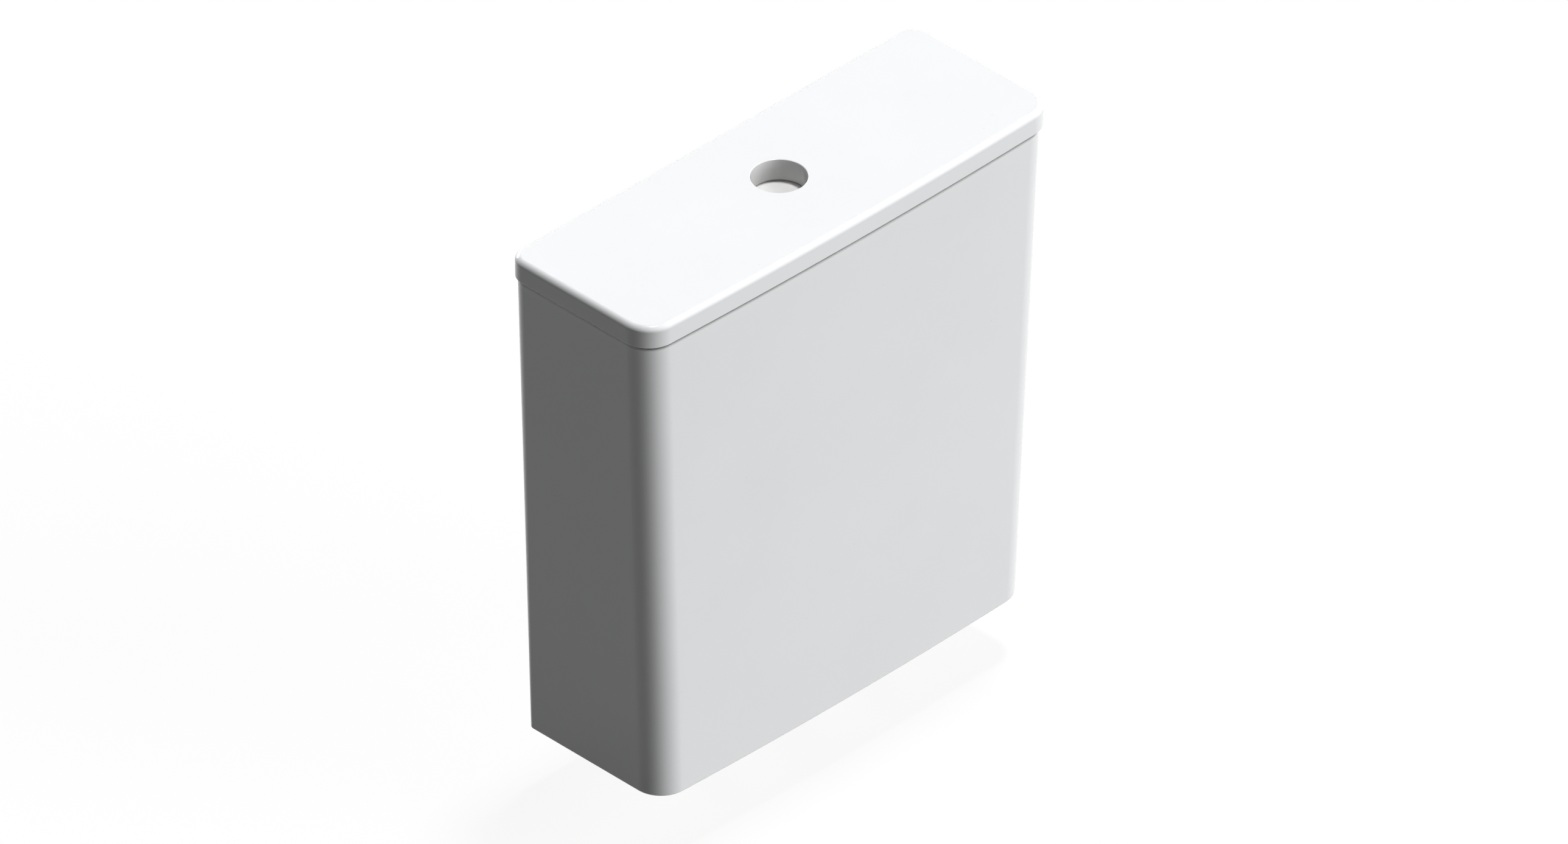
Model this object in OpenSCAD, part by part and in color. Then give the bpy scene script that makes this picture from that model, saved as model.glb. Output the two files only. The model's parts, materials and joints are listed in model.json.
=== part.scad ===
// Close-coupled toilet cistern: tank and lid, coupling kit, dual-flush valve and bottom-entry fill valve.
// Millimetres, +Z up, +Y to the wall behind. The origin lies on the outlet's axis in the tank's underside.

/* [Tank] */
// Height of the tank from its underside to its rim
tank_h = 370.5; // [350:0.5:400]
// Width of the tank's underside
base_w = 341.4; // [338:0.2:360]
// Distance from the outlet's axis to the front corners of the underside
base_front = 61.4; // [59:0.2:70]
// Distance from the outlet's axis to the back wall
tank_back = 61.7; // [60:0.1:72]
// How far each side leans out between underside and rim
side_lean = 15.4; // [10:0.2:20]
// How far the front leans out between underside and rim
front_lean = 5.2; // [1:0.2:9]
// How far the middle of the front bows out past its corners
front_bow = 2.8; // [0.4:0.2:6]
// Radius of the tank's front corners
tank_front_r = 21; // [14:0.5:28]
// Radius of the tank's back corners at the rim
tank_back_r = 13; // [8:0.5:18]
// Radius of the tank's back corners at the underside
base_back_r = 4; // [3:0.5:8]
// Rounding of the tank's outer edges
tank_edge_r = 1.5; // [0.5:0.25:2.5]
// Thickness of the tank's walls
wall_t = 8.5; // [7:0.5:10]
// Thickness of the tank's floor
floor_t = 12; // [10:0.5:15]
// Radius of the hollow corner between floor and walls
inner_fillet = 10; // [4:0.5:14]
// Distance between the two wall screw holes in the back
wall_hole_gap = 230; // [180:1:260]
// Diameter of the wall screw holes
wall_hole_d = 8; // [6:0.5:10]
// Depth of the wall screw holes below the rim
wall_hole_drop = 38; // [30:1:60]

/* [Lid] */
// Depth of the lid's edge
lid_t = 16.3; // [14:0.1:20]
// How far the lid stands out past the rim at the front and the sides
lid_overhang = 1.9; // [0.5:0.1:4]
// How far the lid stands out past the back wall
lid_back_overhang = 1.0; // [0:0.1:2]
// Radius of the lid's front corners
lid_front_r = 21; // [14:0.5:28]
// Radius of the lid's back corners
lid_back_r = 13.9; // [9:0.1:20]
// Rounding of the lid's top edge
lid_top_r = 4.7; // [2:0.1:6]
// Rounding of the lid's bottom edge
lid_edge_r = 1.5; // [0.5:0.25:2.5]
// Thickness of the lid's plate
lid_plate_t = 9; // [7:0.5:11]
// Width of the lid's rim
lid_rim_w = 9; // [7:0.5:11]
// Diameter of the push button's hole
button_hole_d = 38; // [32:0.5:44]
// Wall of the boss around the button's hole
boss_wall = 9; // [6:0.5:12]
// Gap between the lid's locating rib and the tank's walls
rib_gap = 2.5; // [1:0.1:4]
// Thickness of the lid's locating rib
rib_t = 5; // [3:0.5:7]
// How far the locating rib reaches below the rim
rib_h = 7; // [4:0.5:12]

/* [Coupling kit] */
// Distance between the coupling bolts
bolt_gap = 150; // [140:1:160]
// Diameter of the bolts' threaded part
bolt_d = 8; // [7:0.25:9]
// How far the bolts reach below the tank
bolt_below = 47; // [44:0.5:52]
// Diameter of the bolt holes in the tank
bolt_hole_d = 11; // [10:0.25:12]
// Diameter of the bolts' rubber seals
bolt_seal_d = 26; // [22:0.5:30]
// Thickness of the bolts' rubber seals
bolt_seal_t = 4; // [3:0.25:6]
// Diameter of the steel washers
washer_d = 24; // [18:0.5:26]
// Thickness of the steel washers
washer_t = 1.6; // [1:0.1:2.5]
// Diameter of the bolt heads
bolt_head_d = 16; // [13:0.5:18]
// Thickness of the bolt heads
bolt_head_t = 5; // [4:0.25:7]
// Diameter of the rubber washers that bear on the pan
pan_washer_d = 26; // [22:0.5:28]
// Thickness of the rubber washers that bear on the pan
pan_washer_t = 2.4; // [1.5:0.1:4]
// Diameter of the wing nuts' hubs
wing_hub_d = 15; // [13:0.5:18]
// Height of the wing nuts' hubs
wing_hub_h = 9; // [7:0.5:10]
// Span of the wing nuts
wing_span = 34; // [28:0.5:40]
// Outer diameter of the doughnut seal between cistern and pan
doughnut_d = 74; // [72:0.5:78]
// Height of the doughnut seal
doughnut_h = 23; // [18:0.5:24]

/* [Flush valve] */
// Diameter of the flush valve's threaded tail
tail_d = 47.8; // [46:0.1:49]
// Wall of the tail
tail_wall = 3.4; // [2.5:0.1:4]
// How far the tail reaches below the tank
tail_below = 34; // [33:0.5:38]
// Length of the plain spigot at the tail's end
spigot_l = 10; // [8:0.25:10]
// Step in radius from the tail's thread to its spigot
spigot_step = 1; // [0.6:0.1:1.4]
// Diameter of the valve's flange on the tank's floor
flange_d = 66; // [64:0.5:70]
// Thickness of the valve's flange
flange_t = 3.5; // [2.5:0.1:5]
// Thickness of the seal under the valve's flange
base_seal_t = 3; // [2:0.25:4]
// Height of the valve's seat above its flange
seat_h = 9; // [7:0.25:12]
// Diameter of the valve's seat at its lip
seat_d = 51; // [50:0.25:53]
// Thickness of the valve's back nut
backnut_t = 8; // [6:0.25:10]
// Width of the valve's back nut across its lugs
backnut_d = 62; // [60:0.5:64]
// Height of the cage from flange to plate
cage_h = 51; // [44:0.5:60]
// Outer diameter of the overflow tube
tube_d = 30; // [28:0.25:31]
// Wall of the overflow tube
tube_wall = 1.7; // [1.2:0.1:2.2]
// Height of the overflow tube's mouth above the tank's floor
overflow_h = 263; // [240:1:275]
// Thickness of the flush valve's seal
seal_t = 2.5; // [2:0.1:3.5]
// Height of the half-flush float's stop above the tank's floor
float_stop_h = 116; // [100:1:130]
// Height of the half-flush float
part_float_h = 34; // [26:0.5:38]
// Rise of the half-flush float
part_float_rise = 40; // [25:1:42]
// Distance from the plungers' middle to the split between them
split_offset = 5; // [4:0.25:5.5]
// Travel of each flush plunger
plunger_stroke = 7; // [5:0.25:7.5]
// Diameter of the pair of flush plungers
plunger_d = 48; // [47:0.25:50]
// Height of the flush plungers
plunger_h = 9; // [7:0.25:11]
// Gap between the lid's underside and the top of the plungers
plunger_drop = 0.7; // [0.4:0.1:3]
// Diameter of the plungers' stems
stem_d = 6; // [5:0.25:6.5]
// Wire diameter of the plunger springs
wire_d = 1; // [0.7:0.05:1.1]
// Number of turns in each plunger spring
spring_turns = 5; // [4:1:6]
// Outer diameter of the flush valve's head
head_d = 65; // [65:0.5:66]

/* [Fill valve] */
// Distance from the fill valve's axis to the tank's side at the underside
fill_side_gap = 45.7; // [43:0.1:50]
// Diameter of the fill valve's threaded shank
shank_d = 20.9; // [20:0.1:21.2]
// How far the shank reaches below the tank
shank_below = 36; // [34:0.5:44]
// Diameter of the waterway through the shank
shank_bore_d = 12; // [10:0.25:13]
// Diameter of the fill valve's flange on the tank's floor
fill_flange_d = 34; // [32:0.5:38]
// Thickness of the fill valve's flange
fill_flange_t = 3; // [2:0.25:4]
// Thickness of the seal under the fill valve's flange
shank_seal_t = 3; // [2:0.25:4]
// Thickness of the shank's back nut
shank_nut_t = 8; // [6:0.25:9]
// Outer diameter of the fill valve's lower tube
body_tube_d = 25; // [24:0.25:26]
// Height of the lower tube's mouth above the tank's floor
body_tube_h = 138; // [125:1:142]
// Outer diameter of the riser
riser_d = 20; // [19:0.1:20.6]
// Wall of the riser
riser_wall = 2.4; // [1.8:0.1:3]
// How far the riser reaches down into the lower tube
riser_overlap = 90; // [60:1:100]
// Height of the valve head's underside above the tank's floor
fill_head_h = 238; // [234:1:255]
// Diameter of the valve head
fill_head_d = 38; // [36:0.25:40]
// Outer diameter of the float cup
cup_d = 44; // [40:0.5:48]
// Height of the float cup
cup_h = 55; // [45:1:60]
// Rise of the float cup
cup_rise = 9; // [6:0.25:10]
// Distance from the lever's pin to the adjusting rod
lever_arm = 31; // [29:0.25:33]
// Diameter of the adjusting rod
rod_d = 4.4; // [4:0.1:5]

/* [Fits] */
// Radial gap between parts that turn or slide on one another
run_gap = 0.05; // [0.03:0.01:0.08]
// Gap between loose curved parts
loose_gap = 0.3; // [0.25:0.05:0.5]
// Radial gap between the valve's tail and the tank's outlet hole
tail_gap = 1.2; // [0.8:0.1:2]
// Radial gap between the shank and the tank's inlet hole
shank_gap = 0.8; // [0.5:0.1:1.2]

/* [Hidden] */
$fn = 64;
// Steps along each rounded corner, along the bowed front, and up a rounded edge
corner_steps = 10;
bow_steps = 14;
edge_step = 22.5;
slice_t = 0.1;
cut = 1;
china = [0.86, 0.87, 0.88];
white_plastic = [0.93, 0.93, 0.92];
grey_plastic = [0.62, 0.64, 0.66];
blue_plastic = [0.30, 0.47, 0.66];
rubber = [0.13, 0.13, 0.14];
silicone = [0.72, 0.30, 0.22];
steel = [0.70, 0.71, 0.73];
brass = [0.78, 0.63, 0.34];

// Lid
lid_top = tank_h + lid_t;
lid_half_w = base_w / 2 + side_lean + lid_overhang;
lid_front = base_front + front_lean + lid_overhang;
lid_back = tank_back + lid_back_overhang;
lid_ceiling = lid_top - lid_plate_t;
boss_r = button_hole_d / 2 + boss_wall;

// Coupling kit
bolt_r = bolt_d / 2;
// The stretches of thread that nuts and washers cover are drawn a little thinner
covered_r = bolt_r - 0.2;
washer_z = floor_t + bolt_seal_t;
bolt_head_z = washer_z + washer_t;
bolt_seal_plug = 5;
wing_nut_z = -bolt_below + 3;
pan_washer_z = wing_nut_z + wing_hub_h;
free_stud_top = floor_t - bolt_seal_plug - 1;
free_stud_end = pan_washer_z + pan_washer_t + loose_gap;

// Flush valve, from the floor up
tail_r = tail_d / 2;
outlet_r = tail_r - tail_wall;
flange_z = floor_t + base_seal_t;
flange_top = flange_z + flange_t;
seat_z = flange_top + seat_h;
seat_lip_w = 2;
cup_wall_r = flange_d / 2 - 3;
cage_t = 3;
cage_wall = 2.7;
cage_r = cup_wall_r + cage_wall;
guide_wall = 2;
cage_window_w = 32;
plate_z = flange_top + cage_h;
plate_top = plate_z + cage_t;
tube_r = tube_d / 2;
tube_foot_z = seat_z - 6;
tube_top = floor_t + overflow_h;
clamp_r = tube_r + 7;
clamp_t = 2;
retainer_t = 5;
retainer_r = min(outlet_r - 1, tube_r + 4.5);
guide_h = 15;
ring_in_r = 26.5;
ring_out_r = flange_d / 2;
ring_t = 3;
post_w = 12;
post_t = 4.5;
rail_w = 6;
rail_flange_w = 14;
rail_flange_t = 3;
rail_x = -ring_out_r + 1;

// Flush valve's head, from the lid down
plunger_top = tank_h - plunger_drop;
plunger_r = plunger_d / 2;
plunger_t = 3;
plunger_wall = 1.8;
plunger_split = 0.8;
split_y = -split_offset;
full_side = 1;
half_side = -1;
cap_top = plunger_top - plunger_h - plunger_stroke - 0.5;
cap_t = 3;
cap_z = cap_top - cap_t;
bezel_top = tank_h - 1.5;
bezel_wall = 3;
bezel_r = plunger_r + loose_gap;
head_r = head_d / 2;
head_wall = 2;
pivot_drop = 15;
pivot_z = cap_z - pivot_drop;
head_floor_drop = 18;
head_floor_top = pivot_z - head_floor_drop;
head_z = head_floor_top - ring_t;
pin_r = 2;

// Rockers: the plunger's end and the lifting end swing evenly about the level
push_arm = 12;
lift_arm = 24;
rocker_turn = 2 * asin(plunger_stroke / 2 / push_arm) * 1.02;
rocker_tilt = rocker_turn / 2;
rocker_t = 5;
rocker_y = 12.5;
nose_r = 2.5;
nose_gap = 0.3;
stem_x = push_arm * cos(rocker_tilt);
stem_tip_z = pivot_z + push_arm * sin(rocker_tilt) + nose_r + 0.1;
hook_x = -lift_arm * cos(rocker_tilt);
hook_z = pivot_z - lift_arm * sin(rocker_tilt) + nose_r + nose_gap;
valve_lift = 2 * lift_arm * sin(rocker_tilt) + 0.3;
hook_t = 3;
hook_w = 6;
link_r = 1.8;
link_y = rocker_y - rocker_t / 2 - link_r - 0.6;
ear_y = rocker_y + rocker_t / 2 + 0.8;
ear_t = 3;
pin_l = 2 * (ear_y + ear_t + 1);
yoke_h = 10;
yoke_drop = 20;
yoke_z = tube_top - yoke_drop;
yoke_wall = 3.5;

// Half-flush float and its stop
stop_z = floor_t + float_stop_h;
stop_h = 6;
part_float_z = stop_z + stop_h + loose_gap;
part_float_w = 32;
part_float_reach = 25;
part_float_x = rail_x - part_float_reach;
part_float_wall = 2;
clip_lip = 2.5;
clip_reach = 9;
clip_w = 22;
foot_h = 4;
foot_z = part_float_z + part_float_h + part_float_rise + 6;

// Springs
spring_r = stem_d / 2 + loose_gap + wire_d / 2 + 0.6;
spring_foot = cap_top + 0.05;
spring_l = plunger_top - plunger_t - 0.05 - spring_foot;
spring_sides = 6;
spring_rings = 8;

// Fill valve
fill_x = base_w / 2 - fill_side_gap;
shank_r = shank_d / 2;
shank_relief = 1;
fill_flange_z = floor_t + shank_seal_t;
fill_flange_top = fill_flange_z + fill_flange_t;
body_tube_r = body_tube_d / 2;
body_tube_top = floor_t + body_tube_h;
riser_r = riser_d / 2;
riser_z = body_tube_top - riser_overlap;
head_foot = floor_t + fill_head_h;
socket_h = 12;
riser_top = head_foot + socket_h;
fill_head_r = fill_head_d / 2;
fill_head_l = 30;
fill_head_top = head_foot + fill_head_l;
diaphragm_t = 3;
diaphragm_r = fill_head_r - 4;
nozzle_r = 5;
cap_skirt = 8;
cap_plate = 4;
cap_wall = 2.2;
cap_r = fill_head_r + run_gap + cap_wall;
cap_plate_top = fill_head_top + cap_plate;
pin_side = 5;
lever_pivot_side = 4;
lever_pivot_rise = 10;
lever_pivot_x = fill_x + lever_pivot_side;
lever_pivot_z = cap_plate_top + lever_pivot_rise;
lever_turn = 2 * asin(cup_rise / 2 / lever_arm);
lever_tilt = lever_turn / 2;
lever_w = 8;
lever_t = 5;
lever_pin_r = 1.5;
lever_ear_t = 3;
lever_ear_r = 4;
lever_ring_t = 3;
lever_ring_r = 7;
lever_hole_r = rod_d / 2 + 0.8;
rod_x = lever_pivot_x - lever_arm;
rod_r = rod_d / 2;
rod_stop_r = 4.5;
rod_play = 1;
ring_z = lever_pivot_z - lever_arm * sin(lever_tilt);
collar_h = 16;
cup_z = body_tube_top + collar_h / 2 + 10;
cup_top = cup_z + cup_h;
cup_wall = 1.6;
cup_r = cup_d / 2;
lug_r = 5;
pilot_r = 1.3;
pilot_drop = 1.5;
pilot_x = lever_pivot_x + pin_side;
pilot_foot = fill_head_top + 0.2 + pilot_drop;
pilot_head_r = pilot_r + 1;
pilot_gap = 0.06;
pilot_top = lever_pivot_z - lever_t / 2 / cos(lever_tilt)
    + (pin_side - pilot_head_r) * tan(lever_tilt) - pilot_gap;

function arc_pts(cx, cy, r, a0, a1) =
    [for (i = [0:corner_steps])
        let (a = a0 + (a1 - a0) * i / corner_steps)
        [cx + r * cos(a), cy + r * sin(a)]];

// Plan outline: a straight back, rounded corners, and a front that bows between its corners
function plan_pts(half_w, front, back, front_r, back_r) =
    let (
        cx = half_w - front_r,
        cy = front_r - front,
        turn = atan(2 * front_bow / cx),
        x0 = cx + front_r * sin(turn),
        y0 = cy - front_r * cos(turn),
        rise = x0 * tan(turn) / 2,
        bx = half_w - back_r,
        by = back - back_r
    )
    concat(
        arc_pts(-cx, cy, front_r, 180, 270 - turn),
        [for (i = [1:bow_steps - 1])
            let (x = x0 * (2 * i / bow_steps - 1))
            [x, y0 - rise * (1 - pow(x / x0, 2))]],
        arc_pts(cx, cy, front_r, 270 + turn, 360),
        arc_pts(bx, by, back_r, 0, 90),
        arc_pts(-bx, by, back_r, 90, 180)
    );

function tank_plan(z, inset) =
    let (share = z / tank_h)
    plan_pts(
        base_w / 2 + side_lean * share - inset,
        base_front + front_lean * share - inset,
        tank_back - inset,
        max(tank_front_r - inset, 2),
        max(base_back_r + (tank_back_r - base_back_r) * share - inset, 1.5)
    );

function lid_plan(inset) =
    plan_pts(
        lid_half_w - inset,
        lid_front - inset,
        lid_back - inset,
        lid_front_r - inset,
        lid_back_r - inset
    );

module slice(z, pts) {
    translate([0, 0, z])
        linear_extrude(slice_t)
            polygon(pts);
}

module tube(z, h, outer, inner) {
    translate([0, 0, z])
        difference() {
            cylinder(h = h, r = outer);
            translate([0, 0, -cut])
                cylinder(h = h + 2 * cut, r = inner);
        }
}

// A block between two corners
module block(low, high) {
    translate(low)
        cube(high - low);
}

// A block with round upright edges
module round_block(low, high, r) {
    size = high - low;
    translate([low[0], low[1] + r, low[2]])
        cube([size[0], size[1] - 2 * r, size[2]]);
    translate([low[0] + r, low[1], low[2]])
        cube([size[0] - 2 * r, size[1], size[2]]);
    for (x = [low[0] + r, high[0] - r], y = [low[1] + r, high[1] - r])
        translate([x, y, low[2]])
            cylinder(h = size[2], r = r);
}

module at_bolts() {
    for (side = [-1, 1])
        translate([side * bolt_gap / 2, 0, 0])
            children();
}

module tank() {
    color(china)
        difference() {
            hull() {
                for (a = [0:edge_step:90]) {
                    low = tank_edge_r * (1 - sin(a));
                    inset = tank_edge_r * (1 - cos(a));
                    slice(low, tank_plan(low, inset));
                    slice(tank_h - low - slice_t, tank_plan(tank_h - low, inset));
                }
            }
            hull() {
                for (a = [0:edge_step:90]) {
                    low = floor_t + inner_fillet * (1 - sin(a));
                    slice(low, tank_plan(low, wall_t + inner_fillet * (1 - cos(a))));
                }
                slice(tank_h + cut, tank_plan(tank_h, wall_t));
            }
            translate([0, 0, -cut])
                cylinder(h = floor_t + 2 * cut, r = tail_r + tail_gap);
            translate([fill_x, 0, -cut])
                cylinder(h = floor_t + 2 * cut, r = shank_r + shank_gap);
            at_bolts()
                translate([0, 0, -cut])
                    cylinder(h = floor_t + 2 * cut, d = bolt_hole_d);
            for (side = [-1, 1])
                translate([side * wall_hole_gap / 2, tank_back - wall_t - cut, tank_h - wall_hole_drop])
                    rotate([-90, 0, 0])
                        cylinder(h = wall_t + 2 * cut, d = wall_hole_d);
        }
}

module lid() {
    color(china)
        difference() {
            union() {
                difference() {
                    hull() {
                        for (a = [0:edge_step:90]) {
                            slice(tank_h + lid_edge_r * (1 - sin(a)), lid_plan(lid_edge_r * (1 - cos(a))));
                            slice(
                                lid_top - lid_top_r * (1 - sin(a)) - slice_t,
                                lid_plan(lid_top_r * (1 - cos(a)))
                            );
                        }
                    }
                    translate([0, 0, tank_h - cut])
                        linear_extrude(lid_ceiling - tank_h + cut)
                            polygon(lid_plan(lid_rim_w));
                }
                translate([0, 0, tank_h])
                    cylinder(h = lid_t - lid_top_r, r = boss_r);
                translate([0, 0, tank_h - rib_h])
                    linear_extrude(lid_ceiling - tank_h + rib_h + cut)
                        difference() {
                            polygon(tank_plan(tank_h - rib_h, wall_t + rib_gap));
                            polygon(tank_plan(tank_h - rib_h, wall_t + rib_gap + rib_t));
                        }
            }
            translate([0, 0, tank_h - cut])
                cylinder(h = lid_t + 2 * cut, d = button_hole_d);
        }
}

module coupling_bolts() {
    color(brass)
        at_bolts() {
            difference() {
                translate([0, 0, bolt_head_z])
                    cylinder(h = bolt_head_t, d = bolt_head_d);
                block(
                    [-bolt_head_d, -0.8, bolt_head_z + bolt_head_t - 2],
                    [bolt_head_d, 0.8, bolt_head_z + bolt_head_t + cut]
                );
            }
            translate([0, 0, -bolt_below])
                cylinder(h = bolt_below + bolt_head_z + cut, r = covered_r);
            translate([0, 0, free_stud_end])
                cylinder(h = free_stud_top - free_stud_end, r = bolt_r);
        }
}

module bolt_seals() {
    color(rubber)
        at_bolts()
            difference() {
                union() {
                    translate([0, 0, floor_t])
                        cylinder(h = bolt_seal_t, d = bolt_seal_d);
                    translate([0, 0, floor_t - bolt_seal_plug])
                        cylinder(h = bolt_seal_plug + cut, d = bolt_hole_d - 2 * run_gap);
                }
                cylinder(h = washer_z + cut, r = covered_r + run_gap);
            }
}

module bolt_washers() {
    color(steel)
        at_bolts()
            tube(washer_z, washer_t, washer_d / 2, covered_r + run_gap);
}

module pan_washers() {
    color(rubber)
        at_bolts()
            tube(pan_washer_z, pan_washer_t, pan_washer_d / 2, covered_r + run_gap);
}

module wing_nuts() {
    wing_t = 3.4;
    wing_h = wing_hub_h - 2;
    color(brass)
        at_bolts()
            difference() {
                union() {
                    translate([0, 0, wing_nut_z])
                        cylinder(h = wing_hub_h, d = wing_hub_d);
                    block(
                        [-(wing_span - wing_h) / 2, -wing_t / 2, wing_nut_z],
                        [(wing_span - wing_h) / 2, wing_t / 2, wing_nut_z + wing_h]
                    );
                    for (side = [-1, 1])
                        translate([side * (wing_span - wing_h) / 2, wing_t / 2, wing_nut_z + wing_h / 2])
                            rotate([90, 0, 0])
                                cylinder(h = wing_t, d = wing_h);
                }
                translate([0, 0, wing_nut_z - cut])
                    cylinder(h = wing_hub_h + 2 * cut, r = covered_r + run_gap);
            }
}

module doughnut_seal() {
    outer = doughnut_d / 2;
    inner = tail_r + loose_gap;
    pocket = backnut_d / 2 + loose_gap;
    ease = 4;
    color(rubber)
        rotate_extrude()
            polygon(concat(
                [[pocket, 0], [outer, 0]],
                [for (a = [0:15:90]) [outer - ease + ease * cos(a), -doughnut_h + ease - ease * sin(a)]],
                [[inner, -doughnut_h], [inner, -backnut_t - loose_gap], [pocket, -backnut_t - loose_gap]]
            ));
}

module valve_base() {
    spigot_r = tail_r - spigot_step;
    lip_r = seat_d / 2;
    well_z = seat_z - 4;
    color(white_plastic)
        rotate_extrude()
            polygon([
                [outlet_r, -tail_below],
                [spigot_r, -tail_below],
                [spigot_r, -tail_below + spigot_l],
                [tail_r, -tail_below + spigot_l],
                [tail_r, flange_z],
                [flange_d / 2, flange_z],
                [flange_d / 2, flange_top],
                [cup_wall_r, flange_top],
                [cup_wall_r, well_z],
                [lip_r + seat_lip_w / 2, well_z],
                [lip_r + seat_lip_w / 4, seat_z],
                [lip_r - seat_lip_w / 4, seat_z],
                [lip_r - seat_lip_w, well_z],
                [outlet_r, well_z - 6]
            ]);
}

module base_seal() {
    color(rubber)
        tube(floor_t, base_seal_t, flange_d / 2 - 1, tail_r + run_gap);
}

module valve_backnut() {
    lug_n = 8;
    color(grey_plastic)
        difference() {
            union() {
                translate([0, 0, -backnut_t])
                    cylinder(h = backnut_t, d = backnut_d - 5);
                translate([0, 0, -2])
                    cylinder(h = 2, d = backnut_d - 1);
                for (i = [0:lug_n - 1])
                    rotate([0, 0, i * 360 / lug_n])
                        block([backnut_d / 2 - 5, -4, -backnut_t], [backnut_d / 2 - 0.4, 4, 0]);
            }
            translate([0, 0, -backnut_t - cut])
                cylinder(h = backnut_t + 2 * cut, r = tail_r + run_gap);
        }
}

module cage() {
    inner = cup_wall_r + loose_gap;
    hoop = 6.5;
    color(white_plastic)
        difference() {
            tube(flange_top, cage_h, cage_r, inner);
            for (turn = [0, 90])
                rotate([0, 0, turn])
                    block(
                        [-flange_d, -cage_window_w / 2, flange_top + hoop],
                        [flange_d, cage_window_w / 2, plate_z - hoop / 2]
                    );
        }
}

// The plate on the cage, with the collar that guides the overflow tube
module guide_plate() {
    drain_r = 3.5;
    color(white_plastic)
        difference() {
            union() {
                translate([0, 0, plate_z])
                    cylinder(h = cage_t, r = cage_r);
                translate([0, 0, plate_z])
                    cylinder(h = cage_t + guide_h, r = tube_r + loose_gap + guide_wall);
            }
            translate([0, 0, plate_z - cut])
                cylinder(h = cage_t + guide_h + 2 * cut, r = tube_r + loose_gap);
            for (turn = [45:90:315])
                rotate([0, 0, turn])
                    translate([ring_in_r - drain_r + 1, 0, plate_z - cut])
                        cylinder(h = cage_t + 2 * cut, r = drain_r);
        }
}

module tower() {
    post_h = head_z - plate_top;
    color(white_plastic) {
        for (z = [plate_top, head_z - ring_t])
            tube(z, ring_t, ring_out_r, ring_in_r);
        for (side = [-1, 1])
            block(
                [-post_w / 2, side > 0 ? ring_in_r : -ring_in_r - post_t, plate_top],
                [post_w / 2, side > 0 ? ring_in_r + post_t : -ring_in_r, plate_top + post_h]
            );
        block([rail_x - 1, -rail_w / 2, plate_top], [-ring_in_r - 0.5, rail_w / 2, plate_top + post_h]);
        block(
            [rail_x - 1 - rail_flange_t, -rail_flange_w / 2, plate_top],
            [rail_x - 1, rail_flange_w / 2, plate_top + post_h]
        );
    }
}

// The slot that fits round the tower's rail, and the height it runs over
module rail_slot(z, h) {
    block(
        [rail_x - 1 - rail_flange_t - loose_gap, -rail_flange_w / 2 - loose_gap, z - cut],
        [rail_x - 1 + loose_gap, rail_flange_w / 2 + loose_gap, z + h + cut]
    );
    block([rail_x - 1, -rail_w / 2 - loose_gap, z - cut], [0, rail_w / 2 + loose_gap, z + h + cut]);
}

module float_stop() {
    color(blue_plastic)
        difference() {
            round_block(
                [rail_x - clip_reach, -clip_w / 2, stop_z],
                [rail_x + clip_lip, clip_w / 2, stop_z + stop_h],
                1.5
            );
            rail_slot(stop_z, stop_h);
        }
}

module part_flush_float() {
    slot_wall = 7;
    color(blue_plastic)
        difference() {
            round_block(
                [part_float_x, -part_float_w / 2, part_float_z],
                [rail_x + clip_lip, part_float_w / 2, part_float_z + part_float_h],
                2.5
            );
            rail_slot(part_float_z, part_float_h);
            block(
                [part_float_x + part_float_wall, -part_float_w / 2 + part_float_wall, part_float_z - cut],
                [
                    rail_x - rail_flange_t - slot_wall,
                    part_float_w / 2 - part_float_wall,
                    part_float_z + part_float_h - part_float_wall
                ]
            );
        }
}

module head_housing() {
    window_w = 34;
    sill_h = 5;
    lintel_h = 7;
    ear_w = 12;
    ear_rise = 5;
    color(white_plastic)
        difference() {
            union() {
                translate([0, 0, head_z])
                    cylinder(h = ring_t, r = head_r);
                difference() {
                    tube(head_floor_top - cut, cap_z - head_floor_top + cut, head_r, head_r - head_wall);
                    for (turn = [0, 90])
                        rotate([0, 0, turn])
                            block(
                                [-head_d, -window_w / 2, head_floor_top + sill_h],
                                [head_d, window_w / 2, cap_z - lintel_h]
                            );
                }
                for (y = [-ear_y - ear_t, -ear_t / 2, ear_y])
                    block(
                        [-ear_w / 2, y, head_floor_top - cut],
                        [ear_w / 2, y + ear_t, pivot_z + ear_rise]
                    );
            }
            translate([0, pin_l, pivot_z])
                rotate([90, 0, 0])
                    cylinder(h = 2 * pin_l, r = pin_r + run_gap);
            block(
                [hook_x - link_r - 2, -link_y - link_r - 0.8, head_z - cut],
                [hook_x + link_r + 2, link_y + link_r + 0.8, head_floor_top + cut]
            );
            for (side = [-1, 1])
                translate([stem_x, side * rocker_y, head_z - cut])
                    cylinder(h = ring_t + 2 * cut, r = 4);
        }
}

module head_cap() {
    color(white_plastic)
        difference() {
            union() {
                translate([0, 0, cap_z])
                    cylinder(h = cap_t, r = head_r);
                tube(cap_top - cut, bezel_top - cap_top + cut, bezel_r + bezel_wall, bezel_r);
            }
            for (side = [-1, 1])
                translate([stem_x, side * rocker_y, cap_z - cut])
                    cylinder(h = cap_t + 2 * cut, r = stem_d / 2 + loose_gap);
        }
}

module rocker_pin() {
    color(steel)
        translate([0, pin_l / 2, pivot_z])
            rotate([90, 0, 0])
                cylinder(h = pin_l, r = pin_r);
}

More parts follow.
